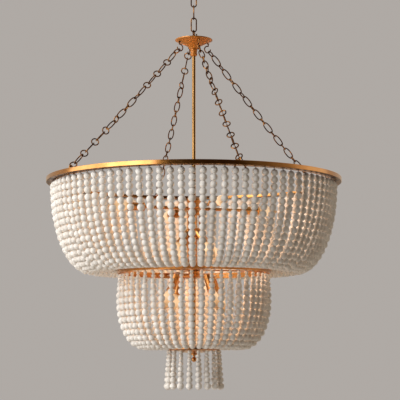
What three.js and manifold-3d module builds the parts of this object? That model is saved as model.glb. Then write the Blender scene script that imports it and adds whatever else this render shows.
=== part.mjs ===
// Three-tier beaded chandelier, in millimetres, +Z up.
// The origin is the middle of the ceiling face, so everything hangs below z = 0.
// Azimuth 0 is the front (-Y), and azimuths grow towards +X.
import * as THREE from 'three';
import { mergeVertices } from 'three/addons/utils/BufferGeometryUtils.js';
import Module from 'manifold-3d';

const wasm = await Module();
wasm.setup();

// Clearances
const seatGap = 0.3;          // between pieces that rest on each other
const tasselGap = 0.8;        // over the tassel wire, which turns as the tassel swings
const jointSink = 0.5;        // how far welded pieces run into each other
const cutOverrun = 2;         // how far a cut runs past the face that it opens

// Ceiling fittings
const strapLength = 110;
const strapWidth = 22;
const strapThickness = 3;
const canopyRadius = 65;
const canopyDepth = 35;
const canopyWall = 1.5;
const canopyHoleRadius = 14;
const nippleRadius = 5;
const loopCollarRadius = 13;
const loopCollarAbove = 8;    // collar above the canopy's lower face
const loopCollarBelow = 10;   // collar below the canopy's lower face
const collarRingRadius = 18;
const collarRingHeight = 8;

// Ceiling chain
const linkWire = 4.4;
const linkLength = 52.6;
const linkWidth = 22.6;
const linkCount = 4;
const eyeRadius = 9.8;        // centre line of the canopy loop's eye

// Hub
const hubEyeRadius = 8;
const hubEyeTopRise = 32.9;   // eye's top wire above the hub's rim
const hubRadius = 65;
const hubDepth = 32;
const hubWall = 2;
const hubRimHeight = 2.5;
const hubCoverThickness = 2;
const hubConeShares = [[0.62, 0.45], [0.34, 0.72], [0.23, 1]];   // of its radius and depth
const hubLoopBaseRadius = 8;
const hubNippleDrop = 8;      // nipple below the hub's rim
const glandRadius = 3.6;
const glandHeight = 12;
const glandBoreRadius = 2.2;
const glandX = 9;
const glandY = 13;
const couplingRadius = 12.3;
const couplingLength = 24;
const stemRadius = 6;
const stemTopRise = 5;        // stem's top above the bottom of the hub's dish

// Suspension chains: round rings and long oval links in turn
const chainWire = 4;
const ringLinkDiameter = 27;
const ovalLinkWidth = 21;
const ringLinkCount = 11;
const chainSag = 6;
const hookRadius = 11.5;      // centre line
const hookInset = 15;         // hook's axis inside the hub's rim
const hookDrop = 30;          // hook's centre below the hub's rim
const hookStartAngle = 75;    // from level, where the hook's curve leaves its shank
const hookSweep = 285;
const hookAzimuths = [-70, 20, 110, 200];
const lugAzimuths = [-54, 17, 118, 196];
const lugEyeRadius = 6;       // centre line
const lugInset = 11.5;        // lug's axis inside the top ring's rim
const lugRise = 10;           // eye's centre above the middle of the top ring's band
const lugPostRadius = 2.5;

// Top ring
const topRingRadius = 500;
const topRingDrop = 489;      // middle of the band below the hub's rim
const topBandHeight = 14;
const bandThickness = 3;
const topFlangeWidth = 34;     // from the rim to the flange's inner edge
const flangeThickness = 2.5;
const topHangInset = 25;      // strands inside the rim

// Middle ring
const midRingRadius = 258.5;
const midRingDrop = 296;      // its top below the middle of the top ring's band
const midBandHeight = 18.5;
const midHangInset = 8.5;     // strands inside the rim
const spiderWidth = 16;
const spiderThickness = 4;
const spiderDrop = 3;         // bars below the middle ring's top
const spiderHubRadius = 22;
const lampAzimuth = 20;       // first arm of the upper lamps and of the spider

// Bottom dish and finial
const dishRadius = 88;
const dishRimDrop = 554;      // rim's top below the middle of the top ring's band
const dishRimHeight = 14;
const dishDepth = 13;         // bowl below the rim
const dishWall = 2.5;
const finialWasherRadius = 10.5;
const finialWasherHeight = 6;
const finialNeckRadius = 4;
const finialNeckHeight = 6;
const finialBallRadius = 8.5;

// Bead strands
const beadRadius = 11;
const smallBeadRadius = 5;
const tierOneCount = 88;
const tierOneSectors = 8;
const tierOneTurn = 1.46;         // degrees from the front to the first sector
const tierOneBellyRadius = 350;   // where the strands hang lowest
const tierOneFall = 293.5;
const tierOneRise = 4;            // from the lowest bead up to the middle ring
const tierTwoCount = 48;
const tierTwoSectors = 4;
const tierTwoTurn = 2;            // degrees from the front to the first sector
const tierTwoStraight = 87;
const tierTwoFirstDrop = 40;      // small beads above the first full-size bead
const tierTwoTurnRadius = 165;
const tierTwoTurnFall = 154;
const tierTwoRise = 2;
const tierThreeCount = 18;
const tierThreeSectors = 6;
const tasselInset = 3;            // tassels inside the dish's rim
const tasselSplay = 5;
const tasselLength = 129;
const topStripWidth = 16;
const midStripWidth = 8.8;
const strandWidthShare = Math.PI / 4;   // a row of round beads fills this share of its width
const hangStripThickness = 2;
const tasselWire = 3;

// Lamps
const bulbRadius = 17.5;
const bulbGlassLength = 72;
const bulbBaseRadius = 11.7;
const bulbBaseLength = 26;
const sleeveRadius = 15;
const sleeveLength = 60;
const sleeveBoreDepth = 30;
const armRadius = 5.5;
const armSocketRadius = 12;       // where an arm starts inside its hub
const upperBodyRadius = 25;
const upperBodyHeight = 60;
const upperBodyDrop = 57;         // body's top below the middle of the top ring's band
const upperArmDrop = 93;
const upperSleeveStart = 175;
const cageRodRadius = 3;
const cageRodCircle = 21;
const lowerLampAzimuth = 37;      // first arm of the middle and the lower lamps
const middleHubRadius = 26;
const middleHubHeight = 30;
const middleHubDrop = 160;
const middleSleeveStart = 20;
const middleSleeveDrop = 175;
const middleLampTilt = 45;        // below the horizontal
const lowerHubRadius = 20;
const lowerHubHeight = 26;
const lowerArmDrop = 322;
const lowerSleeveStart = 73;
const lowerLampTilt = 65;
const lampsPerFrame = 4;

// Radii and levels worked out from the sizes above
const hookAxisRadius = hubRadius - hookInset;
const lugAxisRadius = topRingRadius - lugInset;
const topFlangeInnerRadius = topRingRadius - topFlangeWidth;
const topHangRadius = topRingRadius - topHangInset;
const midHangRadius = midRingRadius - midHangInset;
const tasselHangRadius = dishRadius - tasselInset;
const eyeBottomZ = -(canopyDepth + loopCollarBelow + 2 * eyeRadius + linkWire / 2 - jointSink);
const linkPitch = linkLength - 2 * linkWire - seatGap;
const firstLinkTopZ = eyeBottomZ + linkWire + seatGap;
const lastLinkBottomZ = firstLinkTopZ - (linkCount - 1) * linkPitch - (linkLength - linkWire);
const hubEyeTopZ = lastLinkBottomZ + linkWire + seatGap;
const hubRimZ = hubEyeTopZ - hubEyeTopRise;
const topRingZ = hubRimZ - topRingDrop;
const topFlangeZ = topRingZ - topBandHeight / 2;
const midRingTopZ = topRingZ - midRingDrop;
const midRingBottomZ = midRingTopZ - midBandHeight;
const spiderTopZ = midRingTopZ - spiderDrop;
const spiderBottomZ = spiderTopZ - spiderThickness;
const dishRimTopZ = topRingZ - dishRimDrop;
const dishRimBottomZ = dishRimTopZ - dishRimHeight;
const dishBottomZ = dishRimBottomZ - dishDepth;
const upperBodyTopZ = topRingZ - upperBodyDrop;
const upperBodyBottomZ = upperBodyTopZ - upperBodyHeight;
const middleHubTopZ = topRingZ - middleHubDrop;
const tierOneTopZ = topFlangeZ - seatGap;
const tierTwoTopZ = midRingBottomZ + hangStripThickness;
const tasselTopZ = dishRimBottomZ - tasselGap;
const stemBoreRadius = stemRadius + seatGap;

// Faceting
const fullTurn = 2 * Math.PI;
const quarterTurn = fullTurn / 4;
const topRingSides = 48;
const midRingSides = 48;
const dishSides = 24;
const turnedSides = 18;
const lampSides = 8;
const linkSides = 14;
const wireSides = 6;
const hookSides = 5;
const hookSteps = 8;
const lugWireSides = 4;

// Materials, one for each finish
function finish(color, roughness, metalness) {
  return new THREE.MeshStandardMaterial({ color, roughness, metalness });
}
const gold = finish(0xc9913f, 0.35, 0.9);
const bronze = finish(0x6b4426, 0.45, 0.8);
const beads = finish(0xe4ded4, 0.7, 0);
const steel = finish(0x9a9a98, 0.45, 0.8);
const plastic = finish(0x8f8b86, 0.5, 0);
const glass = finish(0xffe9c4, 0.15, 0);

const chandelier = new THREE.Group();

// Solids: three.js makes every shape, and joins and cuts work on merged copies
function merged(geometry) {
  const bare = geometry.index ? geometry.toNonIndexed() : geometry.clone();
  for (const name of Object.keys(bare.attributes)) {
    if (name !== 'position') {
      bare.deleteAttribute(name);
    }
  }
  const welded = mergeVertices(bare);
  const faces = [];
  const index = welded.index.array;
  for (let i = 0; i < index.length; i += 3) {
    const [a, b, c] = [index[i], index[i + 1], index[i + 2]];
    if (a !== b && b !== c && c !== a) {
      faces.push(a, b, c);
    }
  }
  welded.setIndex(faces);
  return volumeOf(welded) < 0 ? turnedOut(welded) : welded;
}

function volumeOf(geometry) {
  const place = geometry.attributes.position;
  const index = geometry.index.array;
  const corner = [new THREE.Vector3(), new THREE.Vector3(), new THREE.Vector3()];
  let total = 0;
  for (let i = 0; i < index.length; i += 3) {
    corner.forEach((point, k) => point.fromBufferAttribute(place, index[i + k]));
    total += corner[0].dot(corner[1].cross(corner[2])) / 6;
  }
  return total;
}

function turnedOut(geometry) {
  const index = Array.from(geometry.index.array);
  for (let i = 0; i < index.length; i += 3) {
    [index[i + 1], index[i + 2]] = [index[i + 2], index[i + 1]];
  }
  geometry.setIndex(index);
  return geometry;
}

function toSolid(geometry) {
  const closed = merged(geometry);
  const vertProperties = new Float32Array(closed.attributes.position.array);
  const triVerts = new Uint32Array(closed.index.array);
  return new wasm.Manifold(new wasm.Mesh({ numProp: 3, vertProperties, triVerts }));
}

function toGeometry(solid) {
  const mesh = solid.getMesh();
  const geometry = new THREE.BufferGeometry();
  geometry.setAttribute('position', new THREE.BufferAttribute(mesh.vertProperties, 3));
  geometry.setIndex(new THREE.BufferAttribute(mesh.triVerts, 1));
  return geometry;
}

function joined(geometries) {
  let solid = toSolid(geometries[0]);
  for (const geometry of geometries.slice(1)) {
    solid = solid.add(toSolid(geometry));
  }
  return solid;
}

function put(name, geometry, material) {
  const mesh = new THREE.Mesh(geometry, material);
  mesh.name = name;
  chandelier.add(mesh);
  return mesh;
}

function putSolid(name, solid, material) {
  return put(name, toGeometry(solid), material);
}

// Shapes
// A turned piece about Z, from [radius, z] points that close on themselves or on the axis
function turned(points, sides) {
  const profile = points.map(([radius, z]) => new THREE.Vector2(radius, z));
  const geometry = new THREE.LatheGeometry(profile, sides);
  geometry.rotateX(quarterTurn);
  return merged(geometry);
}

// A turned ring with a rectangular section
function collar(inner, outer, bottom, top, sides) {
  return turned([[inner, bottom], [outer, bottom], [outer, top], [inner, top], [inner, bottom]], sides);
}

function rod(radius, bottom, top, sides) {
  const geometry = new THREE.CylinderGeometry(radius, radius, top - bottom, sides);
  geometry.rotateX(quarterTurn);
  geometry.translate(0, 0, (top + bottom) / 2);
  return merged(geometry);
}

// An eye of round wire in the XZ plane, with its centre at the origin
function eye(radius, wire) {
  const geometry = new THREE.TorusGeometry(radius, wire / 2, wireSides, linkSides);
  geometry.rotateZ(fullTurn / linkSides / 2);
  geometry.rotateX(quarterTurn);
  return geometry;
}

// A chain link in the XZ plane with straight sides: an eye whose halves are moved apart
function longLink(length, width, wire) {
  const radius = (width - wire) / 2;
  const shift = (length - width) / 2;
  const geometry = eye(radius, wire);
  const place = geometry.attributes.position;
  for (let i = 0; i < place.count; i += 1) {
    const z = place.getZ(i);
    place.setZ(i, z + Math.sign(z) * shift);
  }
  return merged(geometry);
}

// A link of square wire, flat in the XY plane with its long axis along X. Its outline is drawn
// from corners that are shares of half its length and half its width.
function flatLink(length, width, wire, corners) {
  function outline(path, halfLength, halfWidth) {
    corners(halfLength, halfWidth).forEach(([x, y], k) => {
      if (k === 0) {
        path.moveTo(x, y);
      } else {
        path.lineTo(x, y);
      }
    });
    path.closePath();
  }
  const shape = new THREE.Shape();
  outline(shape, length / 2, width / 2);
  const hole = new THREE.Path();
  outline(hole, length / 2 - wire, width / 2 - wire);
  shape.holes.push(hole);
  const geometry = new THREE.ExtrudeGeometry(shape, { depth: wire, bevelEnabled: false });
  geometry.translate(0, 0, -wire / 2);
  return geometry;
}

function ovalCorners(halfLength, halfWidth) {
  const flat = Math.tan(Math.PI / 8) * halfWidth;
  const side = halfLength - halfWidth + flat;
  return [
    [halfLength, -flat], [halfLength, flat], [side, halfWidth], [-side, halfWidth],
    [-halfLength, flat], [-halfLength, -flat], [-side, -halfWidth], [side, -halfWidth],
  ];
}

function ringCorners(halfLength, halfWidth) {
  const flat = halfWidth / 2;
  return [
    [halfLength, -flat], [halfLength, flat], [0, halfWidth],
    [-halfLength, flat], [-halfLength, -flat], [0, -halfWidth],
  ];
}

// A tube through points that lie in one plane, with a radius at each point and flat ends
function tube(points, radii, planeNormal, sides) {
  const positions = [];
  const faces = [];
  points.forEach((point, k) => {
    const before = points[Math.max(k - 1, 0)];
    const after = points[Math.min(k + 1, points.length - 1)];
    const along = after.clone().sub(before).normalize();
    const across = new THREE.Vector3().crossVectors(planeNormal, along).normalize();
    for (let side = 0; side < sides; side += 1) {
      const turn = side / sides * fullTurn;
      const spot = point.clone();
      spot.addScaledVector(planeNormal, Math.cos(turn) * radii[k]);
      spot.addScaledVector(across, Math.sin(turn) * radii[k]);
      positions.push(spot.x, spot.y, spot.z);
    }
  });
  for (let k = 0; k < points.length - 1; k += 1) {
    for (let side = 0; side < sides; side += 1) {
      const a = k * sides + side;
      const b = k * sides + (side + 1) % sides;
      faces.push(a, b, b + sides, a, b + sides, a + sides);
    }
  }
  const last = (points.length - 1) * sides;
  for (let side = 1; side < sides - 1; side += 1) {
    faces.push(0, side + 1, side, last, last + side, last + side + 1);
  }
  const geometry = new THREE.BufferGeometry();
  geometry.setAttribute('position', new THREE.Float32BufferAttribute(positions, 3));
  geometry.setIndex(faces);
  return merged(geometry);
}

// The direction of an azimuth, level with the ceiling
function heading(azimuth) {
  const turn = THREE.MathUtils.degToRad(azimuth);
  return new THREE.Vector3(Math.sin(turn), -Math.cos(turn), 0);
}

// Turns a geometry made at azimuth 0 round to another azimuth
function turnedTo(geometry, azimuth) {
  return geometry.clone().rotateZ(THREE.MathUtils.degToRad(azimuth));
}

// Ceiling strap, canopy, its screw collar loop and the ring that holds it up
function addCeilingFittings() {
  const strap = new THREE.BoxGeometry(strapLength, strapWidth, strapThickness);
  strap.translate(0, 0, -strapThickness / 2);
  put('mounting_strap', merged(strap), steel);

  const collarTopZ = -(canopyDepth - loopCollarAbove);
  const collarBottomZ = -(canopyDepth + loopCollarBelow);
  const loopEye = eye(eyeRadius, linkWire);
  loopEye.translate(0, 0, eyeBottomZ + eyeRadius);
  const loop = joined([
    rod(nippleRadius, collarTopZ - jointSink, -strapThickness - seatGap, turnedSides),
    rod(loopCollarRadius, collarBottomZ, collarTopZ, turnedSides),
    loopEye,
  ]);
  putSolid('canopy_loop', loop, gold);

  const bellShares = [[1, 0], [1, 0.12], [0.94, 0.36], [0.76, 0.68], [0.45, 0.9]];
  const outside = bellShares.map(([r, d]) => [r * canopyRadius, -d * canopyDepth]);
  const inside = bellShares.map(([r, d]) => [r * canopyRadius - canopyWall, -d * (canopyDepth - canopyWall)]);
  const bell = [
    ...outside,
    [canopyHoleRadius, -canopyDepth],
    [canopyHoleRadius, canopyWall - canopyDepth],
    ...inside.reverse(),
    outside[0],
  ];
  put('canopy', turned(bell, turnedSides), gold);

  const ringTopZ = -canopyDepth - seatGap;
  put('collar_ring', collar(loopCollarRadius + seatGap, collarRingRadius,
    ringTopZ - collarRingHeight, ringTopZ, turnedSides), gold);
}

// Ceiling chain: each link stands square to the one above
function addCeilingChain() {
  for (let k = 0; k < linkCount; k += 1) {
    const link = longLink(linkLength, linkWidth, linkWire);
    if (k % 2 === 0) {
      link.rotateZ(quarterTurn);
    }
    const topZ = firstLinkTopZ - k * linkPitch;
    const mesh = put(`ceiling_link_${k + 1}`, link, bronze);
    mesh.position.z = topZ - (linkLength - linkWire) / 2;
  }
}

// Hub: loop, cover, cord gland, dish and the coupling that holds the stem
function addHub() {
  const coverTopZ = hubRimZ + hubCoverThickness;
  const eyeCentreZ = hubEyeTopZ - hubEyeRadius;
  const eyeBottom = eyeCentreZ - hubEyeRadius;
  const loopEye = eye(hubEyeRadius, linkWire).rotateZ(quarterTurn);
  loopEye.translate(0, 0, eyeCentreZ);
  const loop = joined([
    loopEye,
    rod(hubLoopBaseRadius, coverTopZ + seatGap, eyeBottom, turnedSides),
    rod(nippleRadius, hubRimZ - hubNippleDrop, coverTopZ + seatGap + jointSink, turnedSides),
  ]);
  putSolid('hub_loop', loop, bronze);

  const cover = toSolid(rod(hubRadius - hubWall, hubRimZ + seatGap, coverTopZ, turnedSides));
  const loopHole = rod(nippleRadius + seatGap, hubRimZ - cutOverrun, coverTopZ + cutOverrun, turnedSides);
  putSolid('hub_cover', cover.subtract(toSolid(loopHole)), gold);

  const gland = collar(glandBoreRadius, glandRadius, coverTopZ + seatGap, coverTopZ + glandHeight, lampSides);
  gland.translate(glandX, glandY, 0);
  put('cord_gland', gland, plastic);

  const bottomZ = hubRimZ - hubDepth;
  const outside = hubConeShares.map(([r, d]) => [r * hubRadius, hubRimZ - d * hubDepth]);
  const inside = outside.map(([r, z]) => [r, z + hubWall * Math.SQRT2]);
  const bowl = [
    [hubRadius, hubRimZ],
    [hubRadius, hubRimZ - hubRimHeight],
    ...outside,
    [stemBoreRadius, bottomZ],
    [stemBoreRadius, bottomZ + hubWall * Math.SQRT2],
    ...inside.reverse(),
    [hubRadius - hubWall, hubRimZ - hubRimHeight],
    [hubRadius - hubWall, hubRimZ],
    [hubRadius, hubRimZ],
  ];
  put('hub_dish', turned(bowl, turnedSides), gold);
  put('stem_coupling', collar(stemBoreRadius, couplingRadius,
    bottomZ - seatGap - couplingLength, bottomZ - seatGap, turnedSides), gold);
}

// The long tube down the middle, which carries the lamps, the middle ring and the dish
function addStem() {
  put('stem_rod', rod(stemRadius, dishBottomZ, hubRimZ - hubDepth + stemTopRise, turnedSides), gold);
}

// A hub hook: an open C of round wire on a shank, in the plane that its chain hangs in
function hookPoints() {
  const points = [];
  for (let k = 0; k <= hookSteps; k += 1) {
    const turn = THREE.MathUtils.degToRad(hookStartAngle + hookSweep * k / hookSteps);
    points.push(new THREE.Vector3(hookRadius * Math.cos(turn), 0, hookRadius * Math.sin(turn)));
  }
  return points;
}

// The centres of a chain's hook and lug, and the level direction from one to the other
function chainEnds(k) {
  const hookCentre = heading(hookAzimuths[k]).multiplyScalar(hookAxisRadius);
  hookCentre.z = hubRimZ - hookDrop;
  const lugCentre = heading(lugAzimuths[k]).multiplyScalar(lugAxisRadius);
  lugCentre.z = topRingZ + lugRise;
  const level = lugCentre.clone().sub(hookCentre).setZ(0).normalize();
  return { hookCentre, lugCentre, level };
}

// Places a geometry drawn in the XZ plane into the upright plane of one chain
function stood(geometry, centre, level) {
  const turn = Math.atan2(level.y, level.x);
  return geometry.clone().rotateZ(turn).translate(centre.x, centre.y, centre.z);
}

// The height of the hub's underside at a radius near its rim
function underHub(radius) {
  const [radiusShare, depthShare] = hubConeShares[0];
  const rimEdge = hubRimZ - hubRimHeight;
  const inner = radiusShare * hubRadius;
  const innerZ = hubRimZ - depthShare * hubDepth;
  return rimEdge + (innerZ - rimEdge) * (hubRadius - radius) / (hubRadius - inner);
}

function addHooks() {
  const sideways = new THREE.Vector3(0, 1, 0);
  const arcPoints = hookPoints();
  const radii = arcPoints.map(() => chainWire / 2);
  const arc = tube(arcPoints, radii, sideways, hookSides);
  hookAzimuths.forEach((azimuth, k) => {
    const { hookCentre, level } = chainEnds(k);
    const top = arcPoints[0];
    const shankTop = underHub(hookAxisRadius + chainWire) - seatGap - hookCentre.z - chainWire / 2;
    const shank = rod(chainWire / 2, top.z - chainWire / 2, shankTop, hookSides);
    shank.translate(top.x, 0, 0);
    const hook = joined([arc, shank]);
    putSolid(`hub_hook_${k + 1}`, toSolid(stood(toGeometry(hook), hookCentre, level)), bronze);
  });
}

// A suspension chain: its links follow a shallow sag and are fused where they bear on each other
function addChain(k) {
  const { hookCentre, lugCentre, level } = chainEnds(k);
  const slope = lugCentre.clone().sub(hookCentre).normalize();
  const start = hookCentre.clone().addScaledVector(slope, hookRadius - chainWire - seatGap);
  const end = lugCentre.clone().addScaledVector(slope, chainWire + seatGap - lugEyeRadius);
  const span = end.clone().sub(start);
  const squareWire = chainWire * Math.sqrt(Math.PI) / 2;
  const ringRun = ringLinkDiameter - squareWire;
  const bite = squareWire - jointSink;
  const bites = 2 * (ringLinkCount - 1);
  const length = span.length() + 8 * chainSag * chainSag / (3 * span.length());
  const ovalRun = (length - ringLinkCount * ringRun + bites * bite) / (ringLinkCount - 1);

  function pointAt(share) {
    const point = start.clone().addScaledVector(span, share);
    point.z -= 4 * chainSag * share * (1 - share);
    return point;
  }

  // The point on the sag that lies one link's run from the point where the link starts
  function nextPoint(from, run, share) {
    let low = share;
    let high = share + 2 * run / length;
    for (let step = 0; step < 40; step += 1) {
      const middle = (low + high) / 2;
      if (pointAt(middle).distanceTo(from) < run) {
        low = middle;
      } else {
        high = middle;
      }
    }
    return { share: low, point: pointAt(low) };
  }

  const links = [];
  let share = 0;
  let a = start.clone();
  for (let i = 0; i < 2 * ringLinkCount - 1; i += 1) {
    const isRing = i % 2 === 0;
    const run = isRing ? ringRun : ovalRun;
    const reached = nextPoint(a, run, share);
    const along = reached.point.clone().sub(a).normalize();
    const across = new THREE.Vector3(-level.y, level.x, 0);
    const upright = new THREE.Vector3().crossVectors(along, across);
    const width = isRing ? ringLinkDiameter : ovalLinkWidth;
    const link = flatLink(run + squareWire, width, squareWire, isRing ? ringCorners : ovalCorners);
    const frame = new THREE.Matrix4();
    if (isRing) {
      frame.makeBasis(along, across, upright);
    } else {
      frame.makeBasis(along, upright, across.clone().negate());
    }
    frame.setPosition(a.clone().addScaledVector(along, run / 2));
    links.push(link.applyMatrix4(frame));
    a = reached.point.clone().addScaledVector(along, -bite);
    share = reached.share - bite / length;
  }
  putSolid(`suspension_chain_${k + 1}`, joined(links), bronze);
}

// Top ring: a flat band with a flange inside, and a lug for each suspension chain
function addTopRing() {
  const bandTopZ = topRingZ + topBandHeight / 2;
  const inner = topRingRadius - bandThickness;
  const flangeTopZ = topFlangeZ + flangeThickness;
  const ring = turned([
    [topRingRadius, bandTopZ],
    [topRingRadius, topFlangeZ],
    [topFlangeInnerRadius, topFlangeZ],
    [topFlangeInnerRadius, flangeTopZ],
    [inner, flangeTopZ],
    [inner, bandTopZ],
    [topRingRadius, bandTopZ],
  ], topRingSides);
  const parts = [ring];
  lugAzimuths.forEach((azimuth, k) => {
    const { lugCentre, level } = chainEnds(k);
    const lugEye = new THREE.TorusGeometry(lugEyeRadius, chainWire / 2, lugWireSides, lampSides);
    lugEye.rotateX(quarterTurn);
    parts.push(stood(lugEye, lugCentre, level));
    const post = rod(lugPostRadius, flangeTopZ - jointSink, lugCentre.z - lugEyeRadius, wireSides);
    post.translate(lugCentre.x, lugCentre.y, 0);
    parts.push(post);
  });
  putSolid('top_ring', joined(parts), gold);
}

// Middle ring: a band with a flat four-armed spider that is fixed to the stem
function addMiddleRing() {
  const inner = midRingRadius - bandThickness;
  const parts = [collar(inner, midRingRadius, midRingBottomZ, midRingTopZ, midRingSides)];
  parts.push(rod(spiderHubRadius, spiderBottomZ, spiderTopZ, turnedSides));
  for (let k = 0; k < lampsPerFrame; k += 1) {
    const bar = new THREE.BoxGeometry(spiderWidth, inner + jointSink, spiderThickness);
    bar.translate(0, -(inner + jointSink) / 2, (spiderTopZ + spiderBottomZ) / 2);
    parts.push(turnedTo(bar, lampAzimuth + 360 / lampsPerFrame * k));
  }
  const bore = rod(stemBoreRadius, spiderBottomZ - cutOverrun, spiderTopZ + cutOverrun, turnedSides);
  putSolid('middle_ring', joined(parts).subtract(toSolid(bore)), gold);
}

// Bottom dish, hung on the stem, and the finial that closes it
function addDishAndFinial() {
  const inner = dishRadius - dishWall;
  const bowlShares = [[0.88, 0], [0.6, 0.55], [0.3, 0.92]];
  const outside = bowlShares.map(([r, d]) => [r * dishRadius, dishRimBottomZ - d * dishDepth]);
  const inside = outside.map(([r, z]) => [r, z + dishWall]);
  put('bottom_dish', turned([
    [dishRadius, dishRimTopZ],
    [dishRadius, dishRimBottomZ],
    ...outside,
    [stemBoreRadius, dishBottomZ],
    [stemBoreRadius, dishBottomZ + dishWall],
    ...inside.reverse(),
    [inner, dishRimBottomZ + dishWall],
    [inner, dishRimTopZ],
    [dishRadius, dishRimTopZ],
  ], dishSides), gold);

  const washerTopZ = dishBottomZ - seatGap;
  const washerBottomZ = washerTopZ - finialWasherHeight;
  const neckBottomZ = washerBottomZ - finialNeckHeight;
  const ballZ = neckBottomZ - finialBallRadius;
  const ballSteps = 5;
  const ball = [];
  for (let k = 1; k <= ballSteps; k += 1) {
    const turn = Math.PI / 2 - Math.PI * k / ballSteps;
    const reach = Math.max(finialBallRadius * Math.cos(turn), 0);
    ball.push([k === ballSteps ? 0 : reach, ballZ + finialBallRadius * Math.sin(turn)]);
  }
  put('finial', turned([
    [0, washerTopZ],
    [finialWasherRadius, washerTopZ],
    [finialWasherRadius, washerBottomZ],
    [finialNeckRadius, washerBottomZ],
    [finialNeckRadius, neckBottomZ],
    ...ball,
  ], turnedSides), gold);
}

// A stretch of bead curtain as one piece: a flat strip that follows the ring, with a four-sided
// strand out of its lower face for each string of beads. A station is [radius, z, bead radius].
function curtain(from, to, azimuths, strip, stations) {
  const positions = [];
  const faces = [];
  function corner(radius, z, azimuth) {
    const out = heading(azimuth);
    positions.push(out.x * radius, out.y * radius, z);
    return positions.length / 3 - 1;
  }
  function quad(a, b, c, d) {
    faces.push(a, b, c, a, c, d);
  }
  function cut(azimuth) {
    return {
      innerTop: corner(strip.inner, strip.top, azimuth),
      outerTop: corner(strip.outer, strip.top, azimuth),
      innerLow: corner(strip.inner, strip.bottom, azimuth),
      outerLow: corner(strip.outer, strip.bottom, azimuth),
    };
  }
  function wallsBetween(a, b) {
    quad(a.innerTop, a.outerTop, b.outerTop, b.innerTop);
    quad(a.outerLow, b.outerLow, b.outerTop, a.outerTop);
    quad(b.innerLow, a.innerLow, a.innerTop, b.innerTop);
  }
  function strandRing(azimuth, k) {
    const [radius, z, size] = stations[k];
    const before = stations[Math.max(k - 1, 0)];
    const after = stations[Math.min(k + 1, stations.length - 1)];
    const run = Math.hypot(after[0] - before[0], after[1] - before[1]);
    const outward = [-(after[1] - before[1]) / run, (after[0] - before[0]) / run];
    const half = size * strandWidthShare;
    const out = heading(azimuth);
    const side = new THREE.Vector3(-out.y, out.x, 0);
    return [[-1, -1], [-1, 1], [1, 1], [1, -1]].map(([o, t]) => {
      const spot = out.clone().multiplyScalar(radius + o * half * outward[0]);
      spot.addScaledVector(side, t * half);
      positions.push(spot.x, spot.y, z + o * half * outward[1]);
      return positions.length / 3 - 1;
    });
  }

  const inset = THREE.MathUtils.radToDeg(seatGap / strip.inner);
  const halfCell = THREE.MathUtils.radToDeg(strip.cell / 2 / strip.inner);
  let last = cut(from + inset);
  quad(last.innerLow, last.outerLow, last.outerTop, last.innerTop);
  for (const azimuth of azimuths) {
    const near = cut(azimuth - halfCell);
    const far = cut(azimuth + halfCell);
    wallsBetween(last, near);
    quad(last.innerLow, near.innerLow, near.outerLow, last.outerLow);
    wallsBetween(near, far);
    let ring = [near.innerLow, far.innerLow, far.outerLow, near.outerLow];
    for (let k = 1; k < stations.length; k += 1) {
      const next = strandRing(azimuth, k);
      for (let i = 0; i < 4; i += 1) {
        const j = (i + 1) % 4;
        quad(ring[i], ring[j], next[j], next[i]);
      }
      ring = next;
    }
    quad(...ring);
    last = far;
  }
  const end = cut(to - inset);
  wallsBetween(last, end);
  quad(last.innerLow, end.innerLow, end.outerLow, last.outerLow);
  quad(end.innerLow, end.innerTop, end.outerTop, end.outerLow);

  const geometry = new THREE.BufferGeometry();
  geometry.setAttribute('position', new THREE.Float32BufferAttribute(positions, 3));
  geometry.setIndex(faces);
  return merged(geometry);
}

function addCurtain(prefix, count, sectors, firstAzimuth, strip, stations) {
  const each = count / sectors;
  for (let s = 0; s < sectors; s += 1) {
    const from = firstAzimuth + 360 / sectors * s;
    const azimuths = [];
    for (let k = 0; k < each; k += 1) {
      azimuths.push(from + (k + 0.5) * 360 / count);
    }
    const piece = curtain(from, from + 360 / sectors, azimuths, strip, stations);
    put(`${prefix}_${s + 1}`, piece, beads);
  }
}

// A strand's end: it stops short of the ring by the seat gap, measured at its nearest edge
function lastStation(fromRadius, ringRadius, lowestZ, rise, size) {
  const edge = size * rise / (fromRadius - ringRadius);
  return [ringRadius + seatGap + edge, lowestZ + rise, size];
}

// Tier 1 falls from the top ring on a rounded curve and comes in to the middle ring
function addTierOne() {
  const stripBottomZ = tierOneTopZ - hangStripThickness;
  const reach = topHangRadius - tierOneBellyRadius;
  const turnShares = [0, 0.26, 0.52, 0.77, 1];
  const sizeShares = [0.95, 1, 1, 0.88, 0.7];
  const endShare = 0.55;
  const stations = turnShares.map((share, k) => {
    const turn = quarterTurn * share;
    const radius = tierOneBellyRadius + reach * Math.cos(turn);
    return [radius, stripBottomZ - tierOneFall * Math.sin(turn), beadRadius * sizeShares[k]];
  });
  const lowestZ = stripBottomZ - tierOneFall;
  stations.push(lastStation(tierOneBellyRadius, midRingRadius, lowestZ, tierOneRise, beadRadius * endShare));
  const strip = {
    inner: topHangRadius - topStripWidth / 2,
    outer: topHangRadius + topStripWidth / 2,
    cell: topStripWidth,
    top: tierOneTopZ,
    bottom: stripBottomZ,
  };
  addCurtain('tier_1_strands', tierOneCount, tierOneSectors, tierOneTurn, strip, stations);
}

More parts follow.
